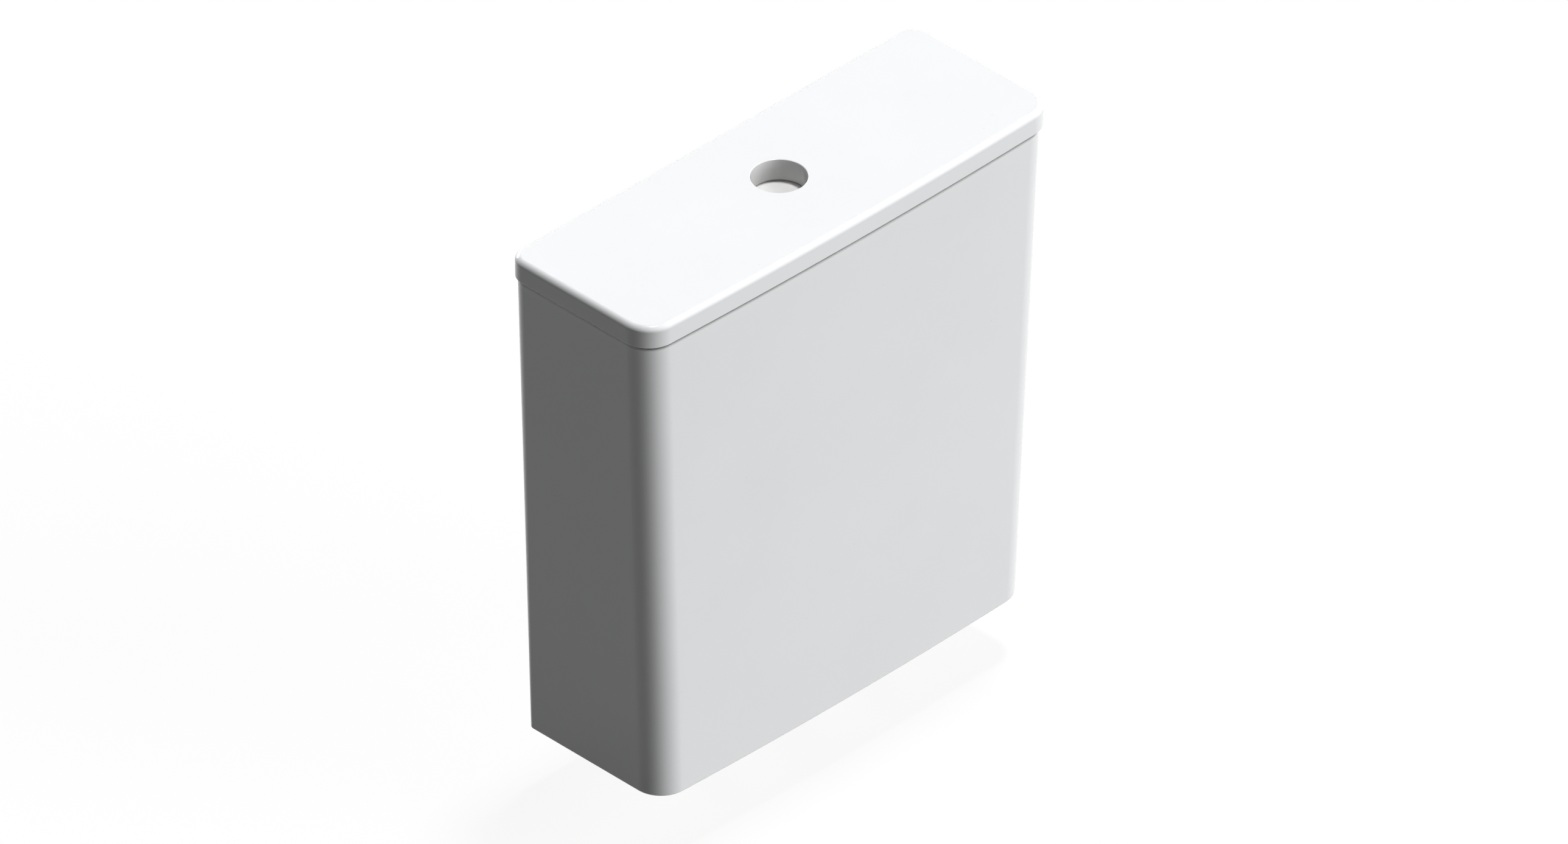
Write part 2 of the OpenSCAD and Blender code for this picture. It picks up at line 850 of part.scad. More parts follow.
// One half-round plunger on the side given, with its skirt and its stem
module plunger(side) {
    low = plunger_top - plunger_h;
    difference() {
        translate([0, 0, low])
            cylinder(h = plunger_h, r = plunger_r);
        difference() {
            translate([0, 0, low - cut])
                cylinder(h = plunger_h - plunger_t + cut, r = plunger_r - plunger_wall);
            block(
                [-plunger_r, split_y - plunger_split / 2 - plunger_wall, low - 2 * cut],
                [plunger_r, split_y + plunger_split / 2 + plunger_wall, plunger_top]
            );
        }
        block(
            [-plunger_d, side > 0 ? -plunger_d : split_y - plunger_split / 2, low - cut],
            [plunger_d, side > 0 ? split_y + plunger_split / 2 : plunger_d, plunger_top + cut]
        );
    }
    translate([stem_x, side * rocker_y, stem_tip_z])
        cylinder(h = plunger_top - plunger_t / 2 - stem_tip_z, d = stem_d);
}

module full_plunger() {
    color(white_plastic)
        plunger(full_side);
}

module half_plunger() {
    color(white_plastic)
        plunger(half_side);
}

// Points of a helical spring: rings of the wire's section along the helix
spring_n = spring_turns * spring_rings;
spring_rise = spring_l - wire_d;
function helix(i) =
    let (a = 360 * i / spring_rings)
    [spring_r * cos(a), spring_r * sin(a), wire_d / 2 + spring_rise * i / spring_n];
function wire_ring(i) =
    let (a = 360 * i / spring_rings, c = helix(i))
    [for (j = [0:spring_sides - 1]) let (b = 360 * j / spring_sides)
        c + wire_d / 2 * [cos(b) * cos(a), cos(b) * sin(a), sin(b)]];

module spring() {
    pts = [for (i = [0:spring_n]) each wire_ring(i)];
    last = spring_n * spring_sides;
    sides = [for (i = [0:spring_n - 1], j = [0:spring_sides - 1])
        let (p = i * spring_sides + j, q = i * spring_sides + (j + 1) % spring_sides)
        each [[p, p + spring_sides, q + spring_sides], [p, q + spring_sides, q]]];
    foot = [for (j = [1:spring_sides - 2]) [0, j, j + 1]];
    top = [for (j = [1:spring_sides - 2]) [last, last + j + 1, last + j]];
    polyhedron(pts, concat(sides, foot, top));
}

// Least gap between neighbouring turns, measured from ring to ring one turn apart
spring_gap = min([for (i = [0:spring_n - spring_rings]) norm(helix(i + spring_rings) - helix(i))]) - wire_d;
echo(spring_self_gap_mm = spring_gap);

module full_spring() {
    color(steel)
        translate([stem_x, full_side * rocker_y, spring_foot])
            spring();
}

module half_spring() {
    color(steel)
        translate([stem_x, half_side * rocker_y, spring_foot])
            spring();
}

// A rocker in the plane of its plunger's stem, at rest with its lifting end down.
// Its hub reaches to the middle ear.
module rocker(side) {
    hub_l = rocker_y - rocker_t / 2 - ear_t / 2 - 0.4;
    translate([0, side * rocker_y + rocker_t / 2, pivot_z])
        rotate([90, -rocker_tilt, 0])
            difference() {
                union() {
                    translate([0, 0, side > 0 ? rocker_t - cut : -hub_l])
                        cylinder(h = hub_l + cut, r = pin_r + 2);
                    linear_extrude(rocker_t) {
                        circle(r = pin_r + 3);
                        translate([push_arm, 0])
                            circle(r = nose_r);
                        translate([-lift_arm, 0])
                            circle(r = nose_r);
                        polygon([
                            [-lift_arm, -nose_r],
                            [0, -pin_r - 2.6],
                            [push_arm, -nose_r],
                            [push_arm, nose_r - 1],
                            [-lift_arm, nose_r - 1]
                        ]);
                    }
                }
                translate([0, 0, -hub_l - cut])
                    cylinder(h = rocker_t + 2 * hub_l + 2 * cut, r = pin_r + run_gap);
            }
}

module full_rocker() {
    color(grey_plastic)
        rocker(full_side);
}

module half_rocker() {
    color(grey_plastic)
        rocker(half_side);
}

module overflow_tube() {
    color(blue_plastic)
        tube(tube_foot_z, tube_top - tube_foot_z, tube_r, tube_r - tube_wall);
}

module valve_seal() {
    color(silicone)
        tube(seat_z, seal_t, seat_d / 2 + 2, tube_r + run_gap);
}

// The ring above the seal, which presses it down on the seat
module seal_clamp() {
    color(blue_plastic)
        tube(seat_z + seal_t, clamp_t, clamp_r, tube_r + run_gap);
}

module seal_retainer() {
    color(white_plastic)
        tube(seat_z - retainer_t, retainer_t, retainer_r, tube_r + run_gap);
}

// The bar that a rocker's lifting end raises, and its rod down to the height given
module lift_bar(side, rod_z) {
    block(
        [hook_x - hook_w / 2, side > 0 ? link_y - link_r : -rocker_y - rocker_t / 2, hook_z],
        [hook_x + hook_w / 2, side > 0 ? rocker_y + rocker_t / 2 : -link_y + link_r, hook_z + hook_t]
    );
    translate([hook_x, side * link_y, rod_z])
        cylinder(h = hook_z + hook_t / 2 - rod_z, r = link_r);
}

module lift_yoke() {
    color(grey_plastic) {
        tube(yoke_z, yoke_h, tube_r + yoke_wall, tube_r + run_gap);
        block(
            [hook_x - link_r, full_side * link_y - link_r, yoke_z + 2],
            [-tube_r - yoke_wall / 4, full_side * link_y + link_r, yoke_z + yoke_h - 2]
        );
        lift_bar(full_side, yoke_z + 2);
    }
}

module half_link() {
    foot_y = rail_flange_w / 2 + loose_gap;
    color(grey_plastic) {
        lift_bar(half_side, foot_z);
        block([hook_x - link_r, -foot_y - 3, foot_z], [hook_x + link_r, -link_y, foot_z + foot_h]);
        block([rail_x - 12, -foot_y - 3, foot_z], [hook_x + link_r, -foot_y, foot_z + foot_h]);
    }
}

module fill_shank() {
    color(white_plastic)
        translate([fill_x, 0, 0])
            difference() {
                union() {
                    translate([0, 0, -shank_below])
                        cylinder(h = shank_below + fill_flange_z + cut, r = shank_r);
                    translate([0, 0, fill_flange_z])
                        cylinder(h = fill_flange_t, d = fill_flange_d);
                    translate([0, 0, fill_flange_top - cut])
                        cylinder(h = body_tube_top - fill_flange_top + cut, r = body_tube_r);
                }
                translate([0, 0, -shank_below - cut])
                    cylinder(h = shank_below + body_tube_top + 2 * cut, d = shank_bore_d);
                translate([0, 0, fill_flange_top])
                    cylinder(h = body_tube_top, r = riser_r + run_gap);
                tube(-shank_nut_t - 6, 2, shank_r + cut, shank_r - shank_relief);
            }
}

module shank_seal() {
    color(rubber)
        translate([fill_x, 0, 0])
            tube(floor_t, shank_seal_t, fill_flange_d / 2 - 0.5, shank_r + run_gap);
}

module shank_backnut() {
    color(grey_plastic)
        translate([fill_x, 0, 0])
            difference() {
                union() {
                    translate([0, 0, -shank_nut_t])
                        cylinder(h = shank_nut_t, r = shank_r + 4.8, $fn = 6);
                    translate([0, 0, -2])
                        cylinder(h = 2, r = shank_r + 6);
                }
                translate([0, 0, -shank_nut_t - cut])
                    cylinder(h = shank_nut_t + 2 * cut, r = shank_r + run_gap);
            }
}

module inlet_filter() {
    r = shank_bore_d / 2 - run_gap;
    wall = 0.9;
    filter_l = 18;
    color(blue_plastic)
        translate([fill_x, 0, 0])
            difference() {
                translate([0, 0, -shank_below + 1])
                    cylinder(h = filter_l, r = r);
                translate([0, 0, -shank_below])
                    cylinder(h = filter_l - wall + 1, r = r - wall);
            }
}

module fill_riser() {
    color(white_plastic)
        translate([fill_x, 0, 0])
            tube(riser_z, riser_top - riser_z, riser_r, riser_r - riser_wall);
}

module height_collar() {
    grip_n = 12;
    outer = body_tube_r + 4;
    color(grey_plastic)
        translate([fill_x, 0, 0])
            difference() {
                union() {
                    translate([0, 0, body_tube_top - collar_h / 2])
                        cylinder(h = collar_h, r = outer);
                    for (i = [0:grip_n - 1])
                        rotate([0, 0, i * 360 / grip_n])
                            block(
                                [outer - 1, -1.2, body_tube_top - collar_h / 2],
                                [outer + 0.8, 1.2, body_tube_top + collar_h / 2]
                            );
                }
                translate([0, 0, body_tube_top - collar_h])
                    cylinder(h = collar_h, r = body_tube_r + run_gap);
                cylinder(h = body_tube_top + collar_h, r = riser_r + run_gap);
            }
}

module outlet_sleeve() {
    inner = body_tube_r + 1;
    low = fill_flange_top;
    high = body_tube_top - collar_h / 2;
    color(grey_plastic)
        translate([fill_x, 0, 0])
            difference() {
                tube(low, high - low, inner + 1.8, body_tube_r + run_gap);
                tube(low - cut, high - low - 2, inner, body_tube_r - cut);
                for (turn = [0, 90])
                    rotate([0, 0, turn])
                        block([-body_tube_d, -5, low - cut], [body_tube_d, 5, low + 8]);
            }
}

module fill_head() {
    port_w = 9;
    port_h = 10;
    color(white_plastic)
        translate([fill_x, 0, 0])
            difference() {
                translate([0, 0, head_foot])
                    cylinder(h = fill_head_l, r = fill_head_r);
                translate([0, 0, head_foot - cut])
                    cylinder(h = socket_h + cut, r = riser_r + run_gap);
                translate([0, 0, head_foot])
                    cylinder(h = fill_head_l, r = nozzle_r);
                translate([0, 0, fill_head_top - diaphragm_t])
                    cylinder(h = diaphragm_t + cut, r = diaphragm_r + run_gap);
                for (turn = [45:90:315])
                    rotate([0, 0, turn])
                        block(
                            [riser_r + 3, -port_w / 2, head_foot - cut],
                            [fill_head_r - 2.5, port_w / 2, head_foot + port_h]
                        );
            }
}

module diaphragm() {
    color(rubber)
        translate([fill_x, 0, fill_head_top - diaphragm_t])
            cylinder(h = diaphragm_t, r = diaphragm_r);
}

module fill_cap() {
    grip_n = 16;
    color(grey_plastic)
        translate([fill_x, 0, 0])
            difference() {
                union() {
                    translate([0, 0, fill_head_top - cap_skirt])
                        cylinder(h = cap_skirt + cap_plate, r = cap_r);
                    for (i = [0:grip_n - 1])
                        rotate([0, 0, i * 360 / grip_n])
                            block(
                                [cap_r - 1, -1.2, fill_head_top - cap_skirt],
                                [cap_r + 0.8, 1.2, fill_head_top + cap_plate - 1]
                            );
                    for (side = [-1, 1])
                        translate([
                            lever_pivot_x - fill_x,
                            side * (lever_w / 2 + loose_gap + lever_ear_t / 2),
                            0
                        ])
                            block(
                                [-lever_ear_r, -lever_ear_t / 2, cap_plate_top - cut],
                                [lever_ear_r, lever_ear_t / 2, lever_pivot_z + lever_ear_r]
                            );
                }
                translate([0, 0, fill_head_top - cap_skirt - cut])
                    cylinder(h = cap_skirt + cut, r = fill_head_r + run_gap);
                translate([pilot_x - fill_x, 0, fill_head_top - cut])
                    cylinder(h = cap_plate + 2 * cut, r = pilot_r + run_gap);
                translate([lever_pivot_x - fill_x, lever_w * 2, lever_pivot_z])
                    rotate([90, 0, 0])
                        cylinder(h = lever_w * 4, r = lever_pin_r + run_gap);
            }
}

module pilot_pin() {
    color(brass)
        translate([pilot_x, 0, 0]) {
            translate([0, 0, pilot_foot])
                cylinder(h = pilot_top - pilot_foot, r = pilot_r);
            translate([0, 0, pilot_top - 2])
                cylinder(h = 2, r = pilot_head_r);
        }
}

module float_lever() {
    color(white_plastic)
        translate([lever_pivot_x, 0, lever_pivot_z])
            rotate([0, -lever_tilt, 0])
                difference() {
                    union() {
                        block(
                            [-lever_arm + lever_ring_r - 1.2, -lever_w / 2, -lever_t / 2],
                            [pin_side + 4, lever_w / 2, lever_t / 2]
                        );
                        translate([-lever_arm, 0, -lever_ring_t / 2])
                            cylinder(h = lever_ring_t, r = lever_ring_r);
                    }
                    translate([-lever_arm, 0, -lever_ring_t])
                        cylinder(h = 2 * lever_ring_t, r = lever_hole_r);
                    translate([0, lever_w, 0])
                        rotate([90, 0, 0])
                            cylinder(h = 2 * lever_w, r = lever_pin_r + run_gap);
                }
}

module lever_pin() {
    pin_half = lever_w / 2 + loose_gap + lever_ear_t + 0.5;
    color(steel)
        translate([lever_pivot_x, pin_half, lever_pivot_z])
            rotate([90, 0, 0])
                cylinder(h = 2 * pin_half, r = lever_pin_r);
}

module float_cup() {
    inner = riser_r + loose_gap;
    lug_h = 12;
    color(blue_plastic)
        difference() {
            union() {
                translate([fill_x, 0, cup_z])
                    cylinder(h = cup_h, r = cup_r);
                translate([rod_x, 0, cup_top - lug_h])
                    cylinder(h = lug_h, r = lug_r);
                block([rod_x, -lug_r + 1.5, cup_top - lug_h], [fill_x - cup_r + 2, lug_r - 1.5, cup_top]);
            }
            translate([fill_x, 0, cup_z - cut])
                cylinder(h = cup_h + 2 * cut, r = inner);
            translate([fill_x, 0, 0])
                tube(cup_z - cut, cup_h - cup_wall + cut, cup_r - cup_wall, inner + cup_wall);
            translate([rod_x, 0, cup_top - lug_h - cut])
                cylinder(h = lug_h + 2 * cut, r = rod_r + run_gap);
        }
}

module adjuster_rod() {
    rod_reach = 26;
    low = cup_top - rod_reach;
    under = ring_z - lever_ring_t / 2 - rod_play;
    over = ring_z + lever_ring_t / 2 + rod_play;
    knob_h = 7;
    color(grey_plastic)
        translate([rod_x, 0, 0]) {
            translate([0, 0, low])
                cylinder(h = over - low + knob_h / 2, r = rod_r);
            translate([0, 0, under - 2])
                cylinder(h = 2, r = rod_stop_r);
            translate([0, 0, over])
                cylinder(h = knob_h, r = rod_stop_r);
        }
}

tank();
lid();
coupling_bolts();
bolt_seals();
bolt_washers();
pan_washers();
wing_nuts();
doughnut_seal();
valve_base();
base_seal();
valve_backnut();
cage();
guide_plate();
tower();
float_stop();
head_housing();
head_cap();
rocker_pin();
full_plunger();
half_plunger();
full_spring();
half_spring();
full_rocker();
half_rocker();
overflow_tube();
valve_seal();
seal_clamp();
seal_retainer();
lift_yoke();
half_link();
part_flush_float();
fill_shank();
shank_seal();
shank_backnut();
inlet_filter();
fill_riser();
height_collar();
outlet_sleeve();
fill_head();
fill_cap();
diaphragm();
pilot_pin();
float_lever();
lever_pin();
float_cup();
adjuster_rod();
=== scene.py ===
"""Looks of a close-coupled toilet cistern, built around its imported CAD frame."""

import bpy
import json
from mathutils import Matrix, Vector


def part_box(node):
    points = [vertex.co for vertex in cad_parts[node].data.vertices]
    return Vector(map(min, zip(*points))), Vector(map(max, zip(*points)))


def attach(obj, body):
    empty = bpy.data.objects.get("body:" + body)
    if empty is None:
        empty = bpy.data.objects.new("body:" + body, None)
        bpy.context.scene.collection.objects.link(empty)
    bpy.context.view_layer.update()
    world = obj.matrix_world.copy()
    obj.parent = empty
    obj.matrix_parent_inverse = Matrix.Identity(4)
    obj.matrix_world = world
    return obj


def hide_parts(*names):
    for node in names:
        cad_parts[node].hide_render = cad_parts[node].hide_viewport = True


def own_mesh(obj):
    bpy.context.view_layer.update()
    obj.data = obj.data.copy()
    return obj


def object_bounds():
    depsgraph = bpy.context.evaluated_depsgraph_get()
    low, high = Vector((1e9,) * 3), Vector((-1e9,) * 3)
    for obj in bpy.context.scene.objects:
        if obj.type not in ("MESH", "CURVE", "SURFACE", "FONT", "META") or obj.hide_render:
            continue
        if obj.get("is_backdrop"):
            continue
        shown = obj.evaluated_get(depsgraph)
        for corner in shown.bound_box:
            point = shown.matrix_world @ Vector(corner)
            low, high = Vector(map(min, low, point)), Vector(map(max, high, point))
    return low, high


bl_info = {
    "name": "Toilet cistern",
    "version": (1, 0, 0),
    "blender": (4, 5, 0),
    "location": "View3D > Sidebar > Cistern",
    "description": "Builds the ware, valves, fixings and finishes of a toilet cistern",
    "category": "Object",
}

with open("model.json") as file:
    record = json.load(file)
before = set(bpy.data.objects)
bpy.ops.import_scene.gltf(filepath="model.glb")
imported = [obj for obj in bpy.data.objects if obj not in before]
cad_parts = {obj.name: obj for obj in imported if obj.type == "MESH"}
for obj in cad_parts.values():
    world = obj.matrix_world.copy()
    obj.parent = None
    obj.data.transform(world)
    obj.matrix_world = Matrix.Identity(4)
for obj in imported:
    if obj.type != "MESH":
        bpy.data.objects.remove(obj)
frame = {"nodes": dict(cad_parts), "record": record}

import json
import math

import bmesh
import bpy
from mathutils import Matrix, Vector

MM = 0.001
WELD = 0.002 * MM
TANK_LOW, TANK_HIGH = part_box("tank")
LID_LOW, LID_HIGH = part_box("lid")
RECORD_COLOURS = {m["slot"]: m["base_color"][:3] for m in frame["record"]["materials"]}
LIME = (0.80, 0.78, 0.73, 1.0)
BLOOM = (0.42, 0.41, 0.40, 1.0)
PHOTO_VIEW = Vector((1, 1, -1)).normalized()

# Each material slot's finish.
FINISHES = {
    "vitreous_china": "glazed_china",
    "white_plastic": "white_moulding",
    "grey_plastic": "grey_moulding",
    "blue_plastic": "blue_moulding",
    "black_rubber": "black_rubber",
    "steel": "plated_steel",
    "brass": "plain_brass",
}

# CAD nodes that keep their own mesh, by group and finish.
DRESSED = {
    "coupling": {
        "black_rubber": "bolt_seals pan_washers",
        "plated_steel": "bolt_washers",
    },
    "flush_valve": {
        "white_moulding": (
            "cage guide_plate tower head_housing head_cap full_plunger half_plunger seal_retainer"
        ),
        "grey_moulding": "valve_backnut full_rocker half_rocker lift_yoke half_link",
        "blue_moulding": "overflow_tube seal_clamp float_stop part_flush_float",
        "black_rubber": "base_seal",
        "red_silicone": "valve_seal",
        "plated_steel": "rocker_pin",
    },
    "fill_valve": {
        "white_moulding": "fill_riser fill_head float_lever",
        "grey_moulding": "shank_backnut height_collar outlet_sleeve fill_cap",
        "blue_moulding": "float_cup",
        "black_rubber": "shank_seal diaphragm",
        "plated_steel": "lever_pin",
        "plain_brass": "pilot_pin",
    },
}

# Each lamp's direction, its width in degrees, and whether gloss mirrors it.
SUNS = {
    "key": ((0.42, -0.667, 0.28), 40, False),
    "top": ((0.16, 0.0, 1.0), 8, True),
    "back": ((0.25, 0.9, 0.2), 40, True),
    "below": ((0.25, -0.1, -1.0), 30, True),
}


# Settings


def length(name, description, millimetres):
    return bpy.props.FloatProperty(
        name=name,
        description=description,
        default=millimetres * MM,
        min=0.0,
        unit="LENGTH",
        precision=5,
    )


def colour(name, description, value):
    return bpy.props.FloatVectorProperty(
        name=name,
        description=description,
        default=value,
        size=3,
        min=0.0,
        max=1.0,
        subtype="COLOR",
    )


def share(name, description, value):
    return bpy.props.FloatProperty(
        name=name, description=description, default=value, min=0.0, max=1.0
    )


def strength(name, description, value):
    return bpy.props.FloatProperty(name=name, description=description, default=value, min=0.0)


class WareSettings(bpy.types.PropertyGroup):
    """Sizes and colours of the ceramic tank and lid"""

    base_half_w: length("Base half width", "Half the width of the underside", 170.7)
    base_front: length("Base front", "Outlet's axis to the underside's front corners", 61.4)
    front_lean: length("Front lean", "How far the front leans out up to the rim", 5.2)
    front_bow: length("Front bow", "How far the front bows out past its corners", 2.8)
    front_r: length("Front corner", "Radius of the front corners", 21.0)
    base_back_r: length("Base back corner", "Radius of the back corners at the base", 4.0)
    back_r: length("Back corner", "Radius of the back corners at the rim", 13.0)
    wall: length("Wall", "Thickness of the tank's walls", 8.5)
    floor: length("Floor", "Thickness of the tank's floor", 12.0)
    fillet: length("Inner fillet", "Radius between the floor and the walls", 10.0)
    edge: length("Outer edges", "Rounding of the outer edges", 1.5)
    rim_edge: length("Rim edge", "Rounding of the rim's inner edge", 2.5)
    lid_top_r: length("Lid's top edge", "Rounding of the lid's top edge", 4.2)
    lid_foot_edge: length("Lid's lower edge", "Rounding of the lid's lower edge", 0.6)
    lid_back_r: length("Lid's back corner", "Radius of the lid's back corners", 13.9)
    lid_rim: length("Lid's rim", "Width of the lid's rim", 9.0)
    lid_plate: length("Lid's plate", "Thickness of the lid's plate", 9.0)
    rib_gap: length("Rib gap", "Gap between the locating rib and the walls", 2.5)
    rib: length("Rib", "Thickness of the locating rib", 5.0)
    boss_wall: length("Boss wall", "Wall of the boss round the button's hole", 9.0)
    hole_r: length("Button hole", "Radius of the push button's hole", 19.0)
    hole_edge: length("Hole's edge", "Rounding of the glaze at the button's hole", 0.6)
    hollow_edge: length("Lid's hollow", "Radius between the lid's plate and its rim", 2.5)
    rim_foot_edge: length("Rim's foot", "Rounding of the lid's rim, inside", 1.0)
    rib_edge: length("Rib's edge", "Rounding of the rib's and the boss's foot", 1.2)
    outlet_hole_r: length("Outlet hole", "Radius of the hole for the flush valve's tail", 25.1)
    shank_hole_r: length("Inlet hole", "Radius of the hole for the fill valve's shank", 11.25)
    bolt_hole_r: length("Bolt holes", "Radius of the coupling bolts' holes", 5.5)
    screw_hole_r: length("Wall screw holes", "Radius of the wall screws' holes", 4.0)
    screw_x: length("Wall screws' reach", "Middle to each wall screw's hole", 115.0)
    screw_z: length("Wall screws' height", "Underside to the wall screws' holes", 332.5)
    drilled_edge: length("Drilled edges", "Rounding of the tank's holes", 0.8)
    # Reach of the painted shade along narrow seams, such as under the lid's edge.
    seam_shade_reach: length("Seam's reach", "How far the grime reaches out of a narrow seam", 4.4)
    # Reach of the painted shade in deep hollows, such as the button's hole.
    hollow_shade_reach: length("Hollow's reach", "How far the grime reaches out of a deep hollow", 40.0)
    glaze: colour("Glaze", "Colour of the glaze", RECORD_COLOURS["vitreous_china"])
    bisque: colour("Bare body", "Colour where the ware is not glazed", (0.78, 0.74, 0.67))
    speck: colour("Specks", "Colour of the fired specks", (0.36, 0.31, 0.26))
    # Dark colour of the painted shade in deep hollows, such as the button's hole.
    dulled: colour("Dulled glaze", "Colour of the film in deep hollows", (0.22, 0.21, 0.20))
    # Dark colour of the painted shade in narrow seams, such as under the lid's edge.
    grime: colour("Grime", "Colour of the grime in narrow seams", (0.05, 0.048, 0.045))


class FittingSettings(bpy.types.PropertyGroup):
    """Sizes and colours of the valves and fixings"""

    moulded_edge: length("Moulded edge", "Rounding of the plastic parts' edges", 0.35)
    metal_edge: length("Metal edge", "Rounding of the metal parts' edges", 0.2)
    rubber_edge: length("Rubber edge", "Rounding of the rubber parts' edges", 0.4)
    tail_pitch: length("Tail's pitch", "Thread pitch of the flush valve's tail", 2.31)
    shank_pitch: length("Shank's pitch", "Thread pitch of the fill valve's shank", 1.81)
    bolt_pitch: length("Bolt's pitch", "Thread pitch of the coupling bolts", 1.25)
    rod_pitch: length("Rod's pitch", "Thread pitch of the adjusting rod", 1.5)
    wire: length("Spring wire", "Diameter of the plunger springs' wire", 1.0)
    bolt_r: length("Bolt", "Radius of the coupling bolts", 4.0)
    bolt_cut: length("Bolt's thread", "Depth of the coupling bolts' thread", 0.65)
    nut_bore_r: length("Nuts' bore", "Radius of the wing nuts' bore", 3.9)
    ear_r: length("Nuts' ears", "Radius of the wing nuts' round ears", 3.4)
    ear: length("Ears' thickness", "Thickness of the wing nuts' ears", 3.0)
    doughnut_bore_r: length("Doughnut's bore", "Radius of the doughnut seal's bore", 24.2)
    pocket_r: length("Doughnut's pocket", "Radius of the pocket round the back nut", 31.3)
    tail_r: length("Tail", "Radius of the flush valve's tail", 23.9)
    tail_bore_r: length("Tail's bore", "Radius of the outlet through the tail", 20.5)
    spigot_r: length("Spigot", "Radius of the plain end under the tail's thread", 22.9)
    spigot: length("Spigot's length", "Length of the plain end under the thread", 10.0)
    seat_r: length("Seat", "Radius of the lip that the flush seal sits on", 25.5)
    shank_r: length("Shank", "Radius of the fill valve's shank", 10.45)
    shank_bore_r: length("Shank's bore", "Radius of the inlet through the shank", 6.0)
    tube_r: length("Lower tube", "Radius of the fill valve's lower tube", 12.5)
    rod_r: length("Rod", "Radius of the adjusting rod", 2.2)
    white: colour("White", "White plastic", RECORD_COLOURS["white_plastic"])
    grey: colour("Grey", "Grey plastic", RECORD_COLOURS["grey_plastic"])
    blue: colour("Blue", "Blue plastic", RECORD_COLOURS["blue_plastic"])
    rubber: colour("Rubber", "Black rubber", RECORD_COLOURS["black_rubber"])
    silicone: colour("Silicone", "Red silicone", RECORD_COLOURS["red_silicone"])
    steel: colour("Steel", "Plated steel", RECORD_COLOURS["steel"])
    brass: colour("Brass", "Brass", RECORD_COLOURS["brass"])
    steel_tarnish: colour("Steel's tarnish", "Colour of dulled steel", (0.42, 0.42, 0.43))
    brass_tarnish: colour("Brass's tarnish", "Colour of dulled brass", (0.46, 0.33, 0.15))


class StageSettings(bpy.types.PropertyGroup):
    """Camera, lamps and floor"""

    lens: bpy.props.FloatProperty(
        name="Lens", description="Focal length in millimetres", default=800.0, min=1.0
    )
    distance: length("Distance", "Distance from the camera to its aim", 22920.0)
    aim: bpy.props.FloatVectorProperty(
        name="Aim",
        description="Point in the middle of the picture",
        default=(65.8 * MM, 61.2 * MM, 127.0 * MM),
        subtype="XYZ",
        unit="LENGTH",
    )
    key: strength("Key", "Strength of the wide light from the front right", 2.8)
    top: strength("Top", "Strength of the light from above", 2.12)
    back: strength("Back", "Strength of the soft light on the back", 1.9)
    below: strength("Below", "Strength of the soft light on the underside", 0.5)
    sky: share("Sky", "Strength of the even light from all round", 0.009)
    shadow: share("Shadow", "How much of the object's shadow the floor shows", 0.1)


# Meshes


def middle_x(node):
    low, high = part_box(node)
    return (low.x + high.x) / 2


def radius_of(node):
    """A round node's radius, from its box's depth."""
    low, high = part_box(node)
    return (high.y - low.y) / 2


def pair_x(node):
    """How far from the middle a node's two round pieces stand."""
    low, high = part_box(node)
    return (high.x - low.x) / 2 - radius_of(node)


def arc(centre_x, centre_y, radius, start, end, steps=16):
    return [
        (
            centre_x + radius * math.cos(math.radians(start + (end - start) * i / steps)),
            centre_y + radius * math.sin(math.radians(start + (end - start) * i / steps)),
        )
        for i in range(steps + 1)
    ]


def ware_plan(half_w, front, back, front_r, back_r, bow, steps=36):
    """Outline with a straight back, rounded corners and a bowed front."""
    front_r, back_r = max(front_r, 2 * MM), max(back_r, 1.5 * MM)
    corner_x, corner_y = half_w - front_r, front_r - front
    turn = math.atan(2 * bow / corner_x)
    end_x = corner_x + front_r * math.sin(turn)
    end_y = corner_y - front_r * math.cos(turn)
    rise = end_x * math.tan(turn) / 2
    degrees = math.degrees(turn)
    along = [end_x * (2 * i / steps - 1) for i in range(1, steps)]
    back_x, back_y = half_w - back_r, back - back_r
    return (
        arc(-corner_x, corner_y, front_r, 180, 270 - degrees)
        + [(x, end_y - rise * (1 - (x / end_x) ** 2)) for x in along]
        + arc(corner_x, corner_y, front_r, 270 + degrees, 360)
        + arc(back_x, back_y, back_r, 0, 90)
        + arc(-back_x, back_y, back_r, 90, 180)
    )


def tank_plan(ware, z, inset):
    up = z / TANK_HIGH.z
    lean = TANK_HIGH.x - ware.base_half_w
    return ware_plan(
        ware.base_half_w + lean * up - inset,
        ware.base_front + ware.front_lean * up - inset,
        TANK_HIGH.y - inset,
        ware.front_r - inset,
        ware.base_back_r + (ware.back_r - ware.base_back_r) * up - inset,
        ware.front_bow,
    )


def lid_plan(ware, inset):
    return ware_plan(
        LID_HIGH.x - inset,
        -LID_LOW.y - ware.front_bow - inset,
        LID_HIGH.y - inset,
        ware.front_r - inset,
        ware.lid_back_r - inset,
        ware.front_bow,
    )


def quarter(radius, steps):
    """(side, height) pairs of a rounded edge, from its side to its end."""
    for i in range(steps + 1):
        turn = math.pi / 2 * i / steps
        yield radius * (1 - math.cos(turn)), radius * math.sin(turn)


def bridge(made, here, there):
    """Faces between two closed rows of points."""
    for i in range(len(here)):
        j = (i + 1) % len(here)
        made.faces.new((here[i], here[j], there[j], there[i]))


def loft(rings):
    """Closed mesh through rings of (height, outline), with flat ends."""
    made = bmesh.new()
    rows = [[made.verts.new((x, y, z)) for x, y in plan] for z, plan in rings]
    for low, high in zip(rows, rows[1:]):
        bridge(made, low, high)
    made.faces.new(rows[0])
    made.faces.new(rows[-1])
    bmesh.ops.recalc_face_normals(made, faces=made.faces)
    return made


def thread(radius, low, high, pitch, depth):
    """Rows of a screw thread on a turned shape, from low to high."""
    steps = max(2, round(abs(high - low) / pitch * 8))
    return [
        (radius, low + (high - low) * i / steps, (low, high, pitch, depth))
        for i in range(steps + 1)
    ]


